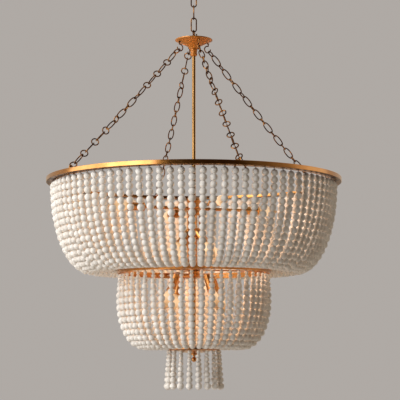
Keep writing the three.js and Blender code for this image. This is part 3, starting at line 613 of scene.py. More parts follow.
# Ceiling fittings
def add_ceiling_fittings():
    low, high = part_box("mounting_strap")
    middle_z = (low.z + high.z) / 2
    strap = [bar((low.x, 0, middle_z), (high.x, 0, middle_z), high.y - low.y, high.z - low.z, 0.0006)]
    for side in (-1, 1):
        head = [(0, -0.0022), (STRAP_SCREW_RADIUS, -0.0012), (STRAP_SCREW_RADIUS, 0), (0, 0)]
        head = turned(rounded(head, 0.0006), STUD_SEGMENTS)
        strap.append(head.moved(side * STRAP_SCREW_SPREAD, 0, low.z))
    piece("strap", strap, steel, "mounting_strap", body="ceiling")

    low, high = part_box("canopy_loop")
    depth = -CANOPY[0].z
    collar_top, collar_bottom = COLLAR_TOP - depth, -depth - COLLAR_DROP
    eye_z = low.z + EYE_WIRE / 2 + CEILING_EYE_RADIUS
    outer = 2 * CEILING_EYE_RADIUS + EYE_WIRE
    collar_profile = rounded([
        (0, collar_bottom), (COLLAR_RADIUS * 0.8, collar_bottom), (COLLAR_RADIUS, collar_bottom + 0.002),
        (COLLAR_RADIUS, collar_top), (0, collar_top)], 0.0008)
    loop = [
        turned(collar_profile),
        drum(NIPPLE_RADIUS, collar_top - 0.0005, high.z, 0.0004, SMALL_SEGMENTS),
        link(outer, outer, EYE_WIRE, EYE_STEPS).moved(0, 0, eye_z),
    ]
    piece("loop_under_canopy", loop, gold, "canopy_loop", body="ceiling")

    radius = CANOPY[1].x
    shares = [(1, 0), (1, 0.10), (0.985, 0.2), (0.94, 0.36), (0.86, 0.54), (0.76, 0.68), (0.62, 0.81),
              (0.45, 0.9)]
    outside = eased([(r * radius, -d * depth) for r, d in shares], 3)
    outside += [(CANOPY_HOLE + 0.001, -depth), (CANOPY_HOLE, -depth + 0.0006)]
    inside = [(max(r - CANOPY_WALL, CANOPY_HOLE), z * (1 - CANOPY_WALL / depth)) for r, z in outside]
    piece("canopy_bell", [turned(outside + inside[::-1], closed=True)], gold, "canopy", body="canopy")
    low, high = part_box("collar_ring")
    ring = collar(COLLAR_RADIUS + 0.0003, high.x, low.z, high.z, 0.0012, 144, flutes=36, flute_depth=0.0007)
    piece("knurled_ring", [ring], gold, "collar_ring", body="canopy")


def add_ceiling_chain():
    for k in range(1, 5):
        low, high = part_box(f"ceiling_link_{k}")
        size = high - low
        shape = link(size.z, max(size.x, size.y), EYE_WIRE, LONG_LINK_STEPS)
        if size.y > size.x:
            shape = shape.at_azimuth(90)
        shape = shape.moved(0, 0, (low.z + high.z) / 2)
        piece(f"long_link_{k}", [shape], bronze, f"ceiling_link_{k}", body=f"link_{k}")


# Hub
def add_hub():
    low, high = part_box("hub_loop")
    cover_z = HUB_COVER[1].z
    eye_z = high.z - EYE_WIRE / 2 - HUB_EYE_RADIUS
    outer = 2 * HUB_EYE_RADIUS + EYE_WIRE
    base = rounded([
        (0, cover_z + 0.0003), (HUB_EYE_RADIUS, cover_z + 0.0003), (HUB_EYE_RADIUS, cover_z + 0.004),
        (HUB_EYE_RADIUS * 0.7, cover_z + 0.006), (HUB_EYE_RADIUS * 0.62, eye_z - HUB_EYE_RADIUS),
        (0, eye_z - HUB_EYE_RADIUS)], 0.0008)
    loop = [
        link(outer, outer, EYE_WIRE, EYE_STEPS).at_azimuth(HUB_EYE_AZIMUTH).moved(0, 0, eye_z),
        turned(base, SMALL_SEGMENTS),
        drum(NIPPLE_RADIUS, low.z, cover_z + 0.0008, 0.0004, SMALL_SEGMENTS),
    ]
    piece("loop_on_hub", loop, bronze, "hub_loop")

    cover = collar(NIPPLE_RADIUS + 0.0003, HUB_COVER[1].x, HUB_COVER[0].z, cover_z, 0.0008, FINE_SEGMENTS)
    piece("hub_top_plate", [cover], gold, "hub_cover")

    low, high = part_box("cord_gland")
    radius = (high.x - low.x) / 2
    neck = high.z + GLAND_NECK
    stub = rounded([
        (radius * 0.62, low.z), (radius, low.z), (radius, low.z + 0.004), (radius * 0.85, low.z + 0.0045),
        (radius * 0.85, neck), (radius * 0.62, neck)], 0.0004, closed=True)
    stub = turned(stub, SMALL_SEGMENTS, closed=True).moved((low.x + high.x) / 2, (low.y + high.y) / 2, 0)
    piece("cord_gland_stub", [stub], plastic, "cord_gland")

    radius, depth = HUB_DISH[1].x, HUB_RIM_Z - HUB_DISH[0].z
    shares = [(1, 0.085), (0.8, 0.26), (0.62, 0.43), (0.46, 0.585), (0.34, 0.72), (0.27, 0.86), (0.23, 1)]
    cone = eased([(r * radius, HUB_RIM_Z - d * depth) for r, d in shares], 4)
    outside = [(radius, HUB_RIM_Z), *cone, (STEM_BORE, HUB_DISH[0].z)]
    inside = [(r, z + HUB_WALL) for r, z in cone[1:]]
    inner_rim = [(radius - HUB_WALL, HUB_RIM_Z - HUB_RIM), (radius - HUB_WALL, HUB_RIM_Z)]
    profile = outside + [(STEM_BORE, HUB_DISH[0].z + HUB_WALL)] + inside[::-1] + inner_rim
    piece("hub_cone", [turned(profile, FINE_SEGMENTS, closed=True)], hub_gold, "hub_dish")

    low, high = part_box("stem_coupling")
    radius = high.x
    sleeve = rounded([
        (STEM_BORE, low.z), (radius * 0.82, low.z), (radius * 0.9, low.z + 0.003), (radius, low.z + 0.004),
        (radius, low.z + 0.007), (radius * 0.93, low.z + 0.008), (radius * 0.93, high.z - 0.008),
        (radius, high.z - 0.007), (radius, high.z), (STEM_BORE, high.z)], 0.0006, closed=True)
    piece("stem_socket", [turned(sleeve, closed=True)], hub_gold, "stem_coupling")
    low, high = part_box("stem_rod")
    stem = drum(high.x, low.z, high.z, 0.0008, SMALL_SEGMENTS)
    piece("stem", [stem], satin_gold, "stem_rod")


# Hooks and suspension chains
def chain_ends(k):
    hook = heading(HOOK_AZIMUTHS[k]) * HOOK_AXIS_RADIUS
    hook.z = HUB_RIM_Z - HOOK_DROP
    lug = heading(LUG_AZIMUTHS[k]) * LUG_AXIS_RADIUS
    lug.z = TOP_RING_Z + LUG_RISE
    level = lug - hook
    level.z = 0
    return hook, lug, level.normalized()


def stood(shape, centre, level):
    """Turns a form drawn in the XZ plane into the upright plane of one chain."""
    turn = Matrix.Rotation(math.atan2(level.y, level.x), 4, "Z")
    return shape.placed(Matrix.Translation(centre) @ turn)


def add_hooks():
    start, sweep, steps = 75, 285, 28
    for k in range(4):
        node = f"hub_hook_{k + 1}"
        hook, _, level = chain_ends(k)
        arc = []
        for i in range(steps + 1):
            turn = math.radians(start + sweep * i / steps)
            arc.append((HOOK_RADIUS * math.cos(turn), 0, HOOK_RADIUS * math.sin(turn)))
        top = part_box(node)[1].z - hook.z
        shank = [(arc[0][0], 0, top), (arc[0][0], 0, (top + arc[0][2]) / 2)]
        wire = tube(shank + arc, CHAIN_WIRE / 2)
        nut = [(0, top - 0.0015), (0.0038, top - 0.0015), (0.0042, top + 0.0012), (0, top + 0.0012)]
        nut = turned(rounded(nut, 0.0006), STUD_SEGMENTS).moved(arc[0][0], 0, 0)
        piece(f"open_hook_{k + 1}", [stood(gathered([wire, nut]), hook, level)], bronze, node)


def add_chains():
    ring_run = RING_LINK - CHAIN_WIRE
    for k in range(4):
        hook, lug, level = chain_ends(k)
        slope = (lug - hook).normalized()
        start = hook + slope * (HOOK_RADIUS - CHAIN_WIRE)
        end = lug + slope * (CHAIN_WIRE - LUG_EYE_RADIUS)
        span = end - start
        length = span.length + 8 * CHAIN_SAG ** 2 / (3 * span.length)
        ovals = RING_LINKS - 1
        oval_run = (length - RING_LINKS * ring_run + 2 * ovals * CHAIN_WIRE) / ovals
        across = Vector((-level.y, level.x, 0))

        def sag_at(share):
            return start + span * share - up(4 * CHAIN_SAG * share * (1 - share))

        links, share = [], 0.0
        for i in range(2 * RING_LINKS - 1):
            is_ring = i % 2 == 0
            run = ring_run if is_ring else oval_run
            a, b = sag_at(share), sag_at(share + run / length)
            along = (b - a).normalized()
            upright = along.cross(across)
            facing = math.atan2(-across.y, upright.y)
            turned_by = np.interp(share, *zip(*CHAIN_TURNS[k])) + (0 if is_ring else 90)
            turned_by += rng.uniform(-CHAIN_UNEVENNESS, CHAIN_UNEVENNESS)
            twist = facing + math.radians(turned_by)
            side = across * math.cos(twist) + upright * math.sin(twist)
            frame_matrix = Matrix((side, along.cross(side), along)).transposed().to_4x4()
            frame_matrix.translation = (a + b) / 2
            if is_ring:
                made = link(run + CHAIN_WIRE, RING_LINK, CHAIN_WIRE)
            else:
                made = oval_link(run + CHAIN_WIRE, OVAL_LINK_WIDTH, CHAIN_WIRE)
            links.append(made.placed(frame_matrix))
            share += (run - CHAIN_WIRE) / length
        node = f"suspension_chain_{k + 1}"
        piece(f"ring_and_oval_chain_{k + 1}", links, bronze, node)


# Rings, spider, dish and finial
def add_top_ring():
    radius = TOP_RING[1].x
    top = TOP_FLANGE_Z + TOP_BAND_HEIGHT
    flange_top = TOP_FLANGE_Z + FLANGE_THICKNESS
    inner = radius - BAND_THICKNESS
    outline = rounded([
        (inner, top), (radius, top), (radius, TOP_FLANGE_Z), (TOP_FLANGE_RADIUS, TOP_FLANGE_Z),
        (TOP_FLANGE_RADIUS, flange_top), (inner, flange_top)], 0.0009, closed=True)
    parts = [turned(outline, RING_SEGMENTS, closed=True)]
    outer = 2 * LUG_EYE_RADIUS + CHAIN_WIRE
    for k in range(4):
        _, lug, level = chain_ends(k)
        parts.append(stood(link(outer, outer, CHAIN_WIRE, STUD_SEGMENTS), lug, level))
        foot_top = lug.z - LUG_EYE_RADIUS
        foot = rounded([(0, flange_top), (0.0055, flange_top), (0.0055, flange_top + 0.0015),
                        (0.0027, flange_top + 0.0025), (0.0025, foot_top), (0, foot_top)], 0.0005)
        parts.append(turned(foot, STUD_SEGMENTS).moved(lug.x, lug.y, 0))
    piece("top_hoop", parts, gold, "top_ring")

    # A thin dark bronze sheet just under the flange: painted shade on the flange's underside.
    flange_shade_sheet = collar(TOP_FLANGE_RADIUS + 0.0006, radius - 0.0012, TOP_FLANGE_Z - 0.0005, TOP_FLANGE_Z + 0.0002,
                  0.0002, RING_SEGMENTS)
    clips = [flange_shade_sheet]
    for azimuth in LUG_AZIMUTHS:
        for side in (-1, 1):
            line = [(side * across, -LUG_AXIS_RADIUS, TOP_RING_Z + rise) for across, rise in CLIP_LEG]
            clips.append(tube(eased(line, 4), CLIP_WIRE_RADIUS).at_azimuth(azimuth))
    piece("flange_shade_and_clips", clips, bronze)


def add_middle_ring():
    radius = MIDDLE_RING[1].x
    inner = radius - BAND_THICKNESS
    hole_z = (MIDDLE_TOP_Z + MIDDLE_BOTTOM_Z) / 2
    band = pierced_band(inner, radius, MIDDLE_BOTTOM_Z, MIDDLE_TOP_Z, TIER_TWO_COUNT, hole_z,
                        BAND_HOLE_RADIUS)
    parts = [band.at_azimuth(TIER_TWO_START)]
    centre = up((SPIDER_TOP_Z + SPIDER_BOTTOM_Z) / 2)
    for k in range(LAMPS):
        out = heading(UPPER_AZIMUTH + 90 * k)
        parts.append(bar(out * STEM_BORE * 2 + centre, out * inner + centre, SPIDER_WIDTH, SPIDER_THICKNESS))
    parts.append(collar(STEM_BORE, SPIDER_HUB_RADIUS, SPIDER_BOTTOM_Z, SPIDER_TOP_Z))
    piece("middle_hoop", parts, gold, "middle_ring")


def add_dish_and_finial():
    radius = DISH[1].x
    depth = DISH_RIM_BOTTOM_Z - DISH[0].z
    shares = [(0.86, 0.02), (0.74, 0.3), (0.6, 0.55), (0.44, 0.77), (0.3, 0.92), (0.16, 1)]
    bowl = eased([(r * radius, DISH_RIM_BOTTOM_Z - d * depth) for r, d in shares], 4)
    outside = [(radius, DISH_RIM_Z), (radius, DISH_RIM_BOTTOM_Z), *bowl, (STEM_BORE, DISH[0].z)]
    inside = [(r, z + DISH_WALL) for r, z in outside[2:]]
    rim = [(radius - DISH_WALL, DISH_RIM_BOTTOM_Z + DISH_WALL), (radius - DISH_WALL, DISH_RIM_Z)]
    profile = rounded(outside + inside[::-1] + rim, 0.0008, 2, True)
    piece("lower_dish", [turned(profile, FINE_SEGMENTS, closed=True)], gold, "bottom_dish")

    low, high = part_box("finial")
    top, washer = high.z, high.x
    ball = 0.0085
    neck_bottom = low.z + 2 * ball
    profile = [(0, top), (washer * 0.9, top), (washer, top - 0.001), (washer, top - 0.0045),
               (washer * 0.8, top - 0.006), (0.004, top - 0.0075), (0.0036, neck_bottom)]
    profile = rounded(profile, 0.0006)
    for i in range(1, 17):
        turn = math.pi / 2 - math.pi * i / 16
        reach = ball * math.cos(turn)
        if i == 16 or reach > profile[-1][0] or i > 4:
            profile.append((max(reach, 0) if i < 16 else 0, low.z + ball + ball * math.sin(turn)))
    piece("ball_finial", [turned(profile, 48)], gold, "finial")


# Beads
def unit_bead():
    """A bead of radius 1 with the flat ends that its bore leaves."""
    flat = BEAD_FLAT_SHARE
    points = [(0, 0, flat)]
    for r in range(1, BEAD_RINGS):
        turn = math.pi * r / BEAD_RINGS
        for s in range(BEAD_SEGMENTS):
            spin = 2 * math.pi * s / BEAD_SEGMENTS
            z = max(-flat, min(flat, math.cos(turn)))
            points.append((math.sin(turn) * math.cos(spin), math.sin(turn) * math.sin(spin), z))
    points.append((0, 0, -flat))
    faces = []
    for s in range(BEAD_SEGMENTS):
        t = (s + 1) % BEAD_SEGMENTS
        faces.append([0, 1 + s, 1 + t])
        for r in range(BEAD_RINGS - 2):
            a = 1 + r * BEAD_SEGMENTS
            b = a + BEAD_SEGMENTS
            faces.append([a + s, b + s, b + t, a + t])
        a = 1 + (BEAD_RINGS - 2) * BEAD_SEGMENTS
        faces.append([a + s, len(points) - 1, a + t])
    return np.array(points), faces


BEAD_POINTS, BEAD_FACES = unit_bead()


def beads_along(path, radius_at, first_gap, last_gap):
    """Beads threaded in contact along a path of 3-D points: (centre, direction, radius) each."""
    path = np.array(path, float)
    steps = np.linalg.norm(np.diff(path, axis=0), axis=1)
    reach = np.concatenate([[0], np.cumsum(steps)])
    whole = reach[-1]

    def at(distance):
        return np.array([np.interp(distance, reach, path[:, i]) for i in range(3)])

    radii, run = [], first_gap
    while run < whole - last_gap:
        radius = radius_at((run + BEAD_RADIUS / 2) / whole)
        radii.append(radius)
        run += 2 * radius * BEAD_SPACING
    fit = (whole - first_gap - last_gap) / (run - first_gap)
    made, run = [], first_gap
    for radius in radii:
        radius *= fit
        run += radius * BEAD_SPACING
        facing = at(min(run + BEAD_LOOK_AHEAD, whole)) - at(max(run - BEAD_LOOK_AHEAD, 0))
        made.append((at(run), facing, radius * rng.uniform(*BEAD_SIZE_SHARES)))
        run += radius * BEAD_SPACING
    return made


def bead_piece(name, threaded, body, node):
    """One mesh for all the beads of a node, each with its own grain, turn and shade."""
    count = len(threaded)
    corners = len(BEAD_POINTS)
    points = np.zeros((count, corners, 3))
    places = np.zeros((count, corners, 3))
    tints = np.zeros((count, corners))
    for i, (centre, along, radius) in enumerate(threaded):
        along = Vector(along).normalized()
        side = Matrix.Rotation(rng.uniform(0, 2 * math.pi), 3, along) @ along.orthogonal().normalized()
        basis = np.array([side, along.cross(side), along]).T
        points[i] = centre + radius * (BEAD_POINTS @ basis.T)
        places[i] = BEAD_POINTS + np.array([rng.uniform(-50, 50) for _ in range(3)])
        tints[i] = min(max(rng.gauss(0.5, 0.22), 0), 1)
    loops = (np.concatenate(BEAD_FACES) + corners * np.arange(count)[:, None]).ravel()
    totals = np.tile([len(face) for face in BEAD_FACES], count)
    starts = np.concatenate([[0], np.cumsum(totals)[:-1]])
    mesh = bpy.data.meshes.new(name)
    mesh.vertices.add(count * corners)
    mesh.vertices.foreach_set("co", points.ravel().astype(np.float32))
    mesh.loops.add(len(loops))
    mesh.loops.foreach_set("vertex_index", loops.astype(np.int32))
    mesh.polygons.add(len(totals))
    mesh.polygons.foreach_set("loop_start", starts.astype(np.int32))
    mesh.update(calc_edges=True)
    place = mesh.attributes.new("bead_place", "FLOAT_VECTOR", "POINT")
    place.data.foreach_set("vector", places.ravel().astype(np.float32))
    tint = mesh.attributes.new("bead_tint", "FLOAT", "POINT")
    tint.data.foreach_set("value", tints.ravel().astype(np.float32))
    mesh.validate()
    mesh.shade_smooth()
    return enrolled(name, mesh, beads, [node], body)


def strand_path(profile, azimuth, sway, lean):
    """Puts a (radius, z) line at an azimuth, bowed sideways and in or out in its middle."""
    out = np.array(heading(azimuth))
    side = np.array([-out[1], out[0], 0])
    count = len(profile) - 1
    path = []
    for i, (radius, z) in enumerate(profile):
        bow = math.sin(math.pi * i / count)
        path.append(out * (radius + lean * bow) + side * sway * bow + np.array([0, 0, z]))
    return path


def belly(top, hang, turn_radius, fall, steps, end_radius, rise):
    """A quarter turn down and inwards as (radius, z), then a short rise to the next ring."""
    line = []
    for i in range(steps + 1):
        turn = math.pi / 2 * i / steps
        line.append((turn_radius + (hang - turn_radius) * math.cos(turn), top - fall * math.sin(turn)))
    low = line[-1][1]
    for share in (0.25, 0.5, 0.75, 1):
        line.append((turn_radius + (end_radius - turn_radius) * share, low + rise * share ** 1.6))
    return line


def graded(places, sizes):
    """A bead's radius as a function of how far down its strand it is threaded."""
    return lambda share: BEAD_RADIUS * float(np.interp(share, places, sizes))


def add_tier(name, node, profile, count, sectors, start, radius_at, first_gap, last_gap, sway):
    wires = []
    for s in range(sectors):
        threaded = []
        for k in range(count // sectors):
            azimuth = start + (s * (count // sectors) + k + 0.5) * 360 / count
            path = strand_path(profile, azimuth, rng.gauss(0, sway), rng.gauss(0, sway))
            strand = beads_along(path, radius_at, first_gap, last_gap)
            threaded += strand
            eye_z = path[0][2] - WIRE_EYE_RADIUS * 0.6
            eye = link(2.4 * WIRE_EYE_RADIUS, 2 * WIRE_EYE_RADIUS, 2 * WIRE_RADIUS, 12)
            wires.append(eye.at_azimuth(azimuth + rng.uniform(-40, 40)).moved(path[0][0], path[0][1], eye_z))
            wires.append(tube([path[0] - np.array([0, 0, 0.002]), strand[0][0]], WIRE_RADIUS, THREAD_SIDES))
            wires.append(tube([strand[-1][0], path[-1]], WIRE_RADIUS, THREAD_SIDES))
        bead_piece(f"{name}_beads_{s + 1}", threaded, "fixture", f"{node}_{s + 1}")
    piece(f"{name}_wires", wires, bronze)


def add_tiers():
    one = graded([0, 0.06, 0.68, 0.78, 0.9, 1], [0.97, 1, 1, 0.9, 0.66, 0.48])
    line = belly(TOP_FLANGE_Z - TIER_ONE_DROP, TIER_ONE_HANG, TIER_ONE_BELLY, TIER_ONE_FALL, 60,
                 MIDDLE_RING[1].x, TIER_ONE_RISE)
    add_tier("upper_tier", "tier_1_strands", line, TIER_ONE_COUNT, TIER_ONE_SECTORS, TIER_ONE_START, one,
             first_gap=0.0035, last_gap=0.004, sway=0.0014)
    two = graded([0, 0.05, 0.10, 0.16, 0.66, 0.85, 1], [0.45, 0.55, 0.72, 0.96, 0.98, 0.72, 0.44])
    line = [(TIER_TWO_HANG, MIDDLE_BOTTOM_Z - TIER_TWO_STRAIGHT * i / 12) for i in range(12)]
    line += belly(MIDDLE_BOTTOM_Z - TIER_TWO_STRAIGHT, TIER_TWO_HANG, TIER_TWO_TURN, TIER_TWO_FALL, 30,
                  DISH[1].x, TIER_TWO_RISE)
    add_tier("lower_tier", "tier_2_strands", line, TIER_TWO_COUNT, TIER_TWO_SECTORS, TIER_TWO_START, two,
             first_gap=0.003, last_gap=0.003, sway=0.0016)


def add_tassels():
    sizes = graded([0, 0.25, 0.6, 1], [0.52, 0.64, 0.84, 1.02])
    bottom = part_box("tassel_strands_1")[0].z
    each = TASSEL_COUNT // TASSEL_SECTORS
    for s in range(TASSEL_SECTORS):
        node = f"tassel_strands_{s + 1}"
        wire_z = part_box(node)[1].z - TASSEL_WIRE_DROP
        threaded, wires = [], []
        for k in range(each):
            azimuth = (s * each + k + 0.5) * 360 / TASSEL_COUNT
            line = [(TASSEL_HANG + TASSEL_SPLAY * i / 8, wire_z + (bottom - wire_z) * i / 8)
                    for i in range(9)]
            path = strand_path(line, azimuth, rng.gauss(0, 0.0012), 0)
            strand = beads_along(path, sizes, first_gap=0.0015, last_gap=0)
            threaded += strand
            wires.append(tube([path[0], strand[0][0]], WIRE_RADIUS, THREAD_SIDES))
            tip = strand[-1]
            end = tip[0] + np.array([0, 0, -tip[2] * 0.93])
            wires.append(tube([tip[0], end], WIRE_RADIUS * 2, 8))
        span = 360 / TASSEL_SECTORS
        turns = [span * s + TASSEL_GAP + (span - 2 * TASSEL_GAP) * i / 16 for i in range(17)]
        arc = [heading(turn) * TASSEL_HANG + up(wire_z) for turn in turns]
        wires.append(tube(arc, TASSEL_WIRE_RADIUS, 8))
        bead_piece(f"tassel_beads_{s + 1}", threaded, f"tassel_{s + 1}", node)
        piece(f"tassel_wire_{s + 1}", wires, gold, body=f"tassel_{s + 1}")


# Lamps
def laid(shape, radius, z, tilt, azimuth):
    """Lays a form drawn along +Z out from (radius, z), tilted down from level, at one azimuth."""
    return shape.placed(spun(azimuth) @ Matrix.Translation((0, -radius, z)) @ spun(90 + tilt, "X"))


def sleeve_shape():
    """A lamp sleeve with a turned foot, a plain tube and a lip round its bore."""
    foot, lip = 0.005, 0.0035
    profile = rounded([
        (0, 0), (SLEEVE_RADIUS * 0.7, 0), (SLEEVE_RADIUS, foot * 0.5), (SLEEVE_RADIUS, foot),
        (SLEEVE_RADIUS * 0.93, foot + 0.001), (SLEEVE_RADIUS * 0.93, SLEEVE_LENGTH - lip - 0.001),
        (SLEEVE_RADIUS, SLEEVE_LENGTH - lip), (SLEEVE_RADIUS, SLEEVE_LENGTH), (SLEEVE_BORE, SLEEVE_LENGTH),
        (SLEEVE_BORE, SLEEVE_LENGTH - SLEEVE_BORE_DEPTH), (0, SLEEVE_LENGTH - SLEEVE_BORE_DEPTH)], 0.0008)
    return turned(profile, 40)


def bulb_profile():
    shares = [(0.62, 0.0), (0.72, 0.06), (0.90, 0.18), (1, 0.34), (0.95, 0.52), (0.78, 0.68), (0.5, 0.84),
              (0.2, 0.96)]
    glass = eased([(r * BULB_RADIUS, SLEEVE_LENGTH + d * BULB_GLASS) for r, d in shares], 4)
    return [(0, SLEEVE_LENGTH + 0.0005)] + glass + [(0, SLEEVE_LENGTH + BULB_GLASS)]


def base_profile():
    """The screw base: a thread as a row of ridges, and a contact at its end."""
    bottom = SLEEVE_LENGTH - BULB_BASE_LENGTH
    profile = [(0, bottom), (0.0035, bottom), (0.0045, bottom + 0.002), (0.0095, bottom + 0.004)]
    root = BULB_BASE_RADIUS * 0.93
    for i in range(5):
        z = bottom + 0.006 + i * 0.0033
        profile += [(root, z), (BULB_BASE_RADIUS, z + 0.0016)]
    top = SLEEVE_LENGTH + 0.001
    return profile + [(root, SLEEVE_LENGTH - 0.002), (root, top), (0, top)]


def add_bulb(level, k, radius, z, tilt, azimuth):
    body, node = f"{level}_lamp_{k + 1}", f"{level}_bulb_{k + 1}"
    glass = laid(turned(bulb_profile(), SMALL_SEGMENTS), radius, z, tilt, azimuth)
    bulb = piece(f"{level}_candle_{k + 1}", [glass], lit_glass, node, body=body)
    middle = Shape([(0, 0, SLEEVE_LENGTH + BULB_GLASS * GLOW_MIDDLE_SHARE)], [])
    centre = laid(middle, radius, z, tilt, azimuth).points[0]
    away = np.array([np.linalg.norm(np.array(v.co) - centre) for v in bulb.data.vertices])
    away = np.clip(GLOW_PEAK - away / (BULB_GLASS * GLOW_REACH_SHARE), 0, 1)
    glow = bulb.data.attributes.new("glow", "FLOAT", "POINT")
    glow.data.foreach_set("value", away.astype(np.float32))
    bulb.visible_shadow = False
    base = laid(turned(base_profile(), SMALL_SEGMENTS), radius, z, tilt, azimuth)
    piece(f"{level}_screw_base_{k + 1}", [base], brass_screw, body=body)
    light = bpy.data.lights.new(f"{level}_glow_{k + 1}", "POINT")
    light.energy = BULB_WATTS[level]
    light.color = BULB_COLOUR
    light.shadow_soft_size = BULB_RADIUS
    lamp = shown(light.name, light)
    lamp.location = centre
    lamp.visible_glossy = False
    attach(lamp, body)


def add_lamps(level, first, radius, z, tilt):
    sleeves = []
    for k in range(LAMPS):
        azimuth = first + 360 / LAMPS * k
        sleeves.append(laid(sleeve_shape(), radius, z, tilt, azimuth))
        add_bulb(level, k, radius, z, tilt, azimuth)
    return sleeves


def arms(first, reach, z):
    ways = [heading(first + 90 * k) for k in range(LAMPS)]
    return [rod(ARM_RADIUS, way * ARM_SOCKET + up(z), way * reach + up(z), 20) for way in ways]


def hub_body(radius, bottom, top, waist):
    """A turned lamp hub: two rims with a drawn-in waist, bored for the stem."""
    height = top - bottom
    narrow = radius * waist
    profile = rounded([
        (STEM_BORE, bottom), (radius * 0.8, bottom), (radius, bottom + height * 0.08),
        (radius, bottom + height * 0.2), (narrow, bottom + height * 0.26), (narrow, top - height * 0.26),
        (radius, top - height * 0.2), (radius, top - height * 0.08), (radius * 0.8, top), (STEM_BORE, top)],
        0.0015, closed=True)
    return turned(profile, closed=True)


def add_lamp_frames():
    upper_bottom = UPPER_BODY_TOP_Z - UPPER_BODY_HEIGHT
    upper = [hub_body(UPPER_BODY_RADIUS, upper_bottom, UPPER_BODY_TOP_Z, 0.88)]
    upper += arms(UPPER_AZIMUTH, UPPER_SLEEVE_START + 0.001, UPPER_ARM_Z)
    upper += add_lamps("upper", UPPER_AZIMUTH, UPPER_SLEEVE_START, UPPER_ARM_Z, 0)
    piece("upper_lamp_arms", upper, gold, "upper_lamp_frame")

    bottom = MIDDLE_HUB_TOP_Z - MIDDLE_HUB_HEIGHT
    middle = [hub_body(MIDDLE_HUB_RADIUS, bottom, MIDDLE_HUB_TOP_Z, 0.9)]
    for k in range(LAMPS):
        spot = heading(UPPER_AZIMUTH + 90 * k) * CAGE_CIRCLE
        middle.append(rod(CAGE_ROD_RADIUS, spot + up(MIDDLE_FRAME[0].z), spot + up(MIDDLE_FRAME[1].z), 16))
    middle += add_lamps("middle", LOWER_AZIMUTH, MIDDLE_SLEEVE_START, MIDDLE_SLEEVE_Z, MIDDLE_TILT)
    piece("middle_lamp_cage", middle, gold, "middle_lamp_frame")

    top = LOWER_FRAME[1].z
    lower = [hub_body(LOWER_HUB_RADIUS, top - LOWER_HUB_HEIGHT, top, 0.9)]
    lower += arms(LOWER_AZIMUTH, LOWER_SLEEVE_START, LOWER_ARM_Z)
    lower += add_lamps("lower", LOWER_AZIMUTH, LOWER_SLEEVE_START, LOWER_ARM_Z, LOWER_TILT)
    piece("lower_lamp_arms", lower, gold, "lower_lamp_frame")


# Stage, light and camera
FLOOR_Z = -2.6
FLOOR_RADIUS = 1.3          # small enough to look past it from below
FLOOR_GLOW = 0.25           # daylight that the floor sends back up
CAMERA_PLACE = (0.0, -5.225, -1.411)
CAMERA_LENS = 139.5
CAMERA_PITCH = 6.44
CAMERA_YAW = -0.227
CAMERA_ROLL = -0.06
ROOM_DARK_TO = -0.8         # the room behind the camera is dark, and paler from here to its sides
ROOM_PALE_FROM = 0.0
ROOM_DARK = (0.024, 0.013, 0.006, 1)
ROOM_PALE = (0.50, 0.425, 0.335, 1)
WALL_COLOUR = (0.43, 0.40, 0.375, 1)
PANEL_AIM = Vector((0, 0, -0.95))
# The soft lights: (name, place, width and height, watts, colour)
PANELS = (
    ("window_left", (-3.75, -0.6, -1.1), (3.0, 3.4), 58, (0.98, 0.99, 1.0)),
    ("window_front", (-2.9, -2.9, -1.1), (2.7, 3.4), 98, (0.985, 0.99, 0.99)),
    ("window_high", (-3.1, -1.9, 1.7), (3.6, 2.2), 100, (1.0, 0.99, 0.98)),
    ("right_fill", (3.6, 0.5, -0.6), (2.6, 2.6), 8, (1.0, 0.95, 0.90)),
    ("back_rim", (0.6, 3.4, 0.6), (2.4, 1.6), 8, (1.0, 0.97, 0.94)),
)


def add_floor():
    disc = turned([(0, FLOOR_Z), (FLOOR_RADIUS, FLOOR_Z)], FINE_SEGMENTS)
    mesh = bpy.data.meshes.new("floor")
    mesh.from_pydata(disc.points.tolist(), [], disc.faces)
    finish = Finish("pale_floor")
    patches = finish.noise(finish.place, 0.8, 2.0)
    shade = finish.ramp(patches, (0.3, (0.50, 0.465, 0.42)), (0.7, (0.53, 0.495, 0.45)))
    mesh.materials.append(finish.set(Base_Color=shade, Roughness=0.9, Emission_Color=(1.0, 0.90, 0.78, 1),
                                     Emission_Strength=FLOOR_GLOW))
    floor = shown("floor", mesh)


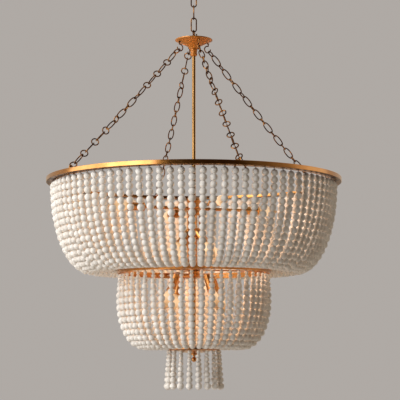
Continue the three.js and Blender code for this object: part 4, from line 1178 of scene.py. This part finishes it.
def add_panel(name, place, size, watts, colour):
    light = bpy.data.lights.new(name, "AREA")
    light.shape = "RECTANGLE"
    light.size, light.size_y = size
    light.energy = watts
    light.color = colour
    lamp = shown(name, light)
    lamp.location = place
    lamp.rotation_euler = (PANEL_AIM - Vector(place)).to_track_quat("-Z", "Y").to_euler()


def add_world():
    """A plain wall as seen, while the room that lights the object is dark behind the camera."""
    world = bpy.data.worlds.new("studio")
    bpy.context.scene.world = world
    world.use_nodes = True
    nodes = world.node_tree.nodes
    new, join = nodes.new, world.node_tree.links.new
    background = nodes["Background"]
    seen = new("ShaderNodeBackground")
    seen.inputs["Color"].default_value = WALL_COLOUR
    toward = new("ShaderNodeSeparateXYZ")
    join(new("ShaderNodeTexCoord").outputs["Generated"], toward.inputs[0])
    depth = new("ShaderNodeMapRange")
    depth.inputs["From Min"].default_value = ROOM_DARK_TO
    depth.inputs["From Max"].default_value = ROOM_PALE_FROM
    join(toward.outputs["Y"], depth.inputs["Value"])
    room = new("ShaderNodeMix")
    room.data_type = "RGBA"
    room.inputs[6].default_value = ROOM_DARK
    room.inputs[7].default_value = ROOM_PALE
    join(depth.outputs["Result"], room.inputs[0])
    join(room.outputs[2], background.inputs["Color"])
    path = new("ShaderNodeLightPath")
    either = new("ShaderNodeMath")
    either.operation = "MAXIMUM"
    join(path.outputs["Is Camera Ray"], either.inputs[0])
    join(path.outputs["Is Transmission Ray"], either.inputs[1])
    mix = new("ShaderNodeMixShader")
    join(either.outputs[0], mix.inputs[0])
    join(background.outputs[0], mix.inputs[1])
    join(seen.outputs[0], mix.inputs[2])
    join(mix.outputs[0], nodes["World Output"].inputs["Surface"])


def add_camera():
    data = bpy.data.cameras.new("camera")
    data.lens = CAMERA_LENS
    camera = shown("camera", data)
    facing = spun(CAMERA_YAW) @ spun(90 + CAMERA_PITCH, "X") @ spun(CAMERA_ROLL)
    camera.matrix_world = Matrix.Translation(CAMERA_PLACE) @ facing
    bpy.context.scene.camera = camera


add_camera()
add_ceiling_fittings()
add_ceiling_chain()
add_hub()
add_hooks()
add_chains()
add_top_ring()
add_middle_ring()
add_dish_and_finial()
add_tiers()
add_tassels()
add_lamp_frames()
add_floor()
for panel in PANELS:
    add_panel(*panel)
add_world()
bpy.context.scene.view_settings.view_transform = "Standard"
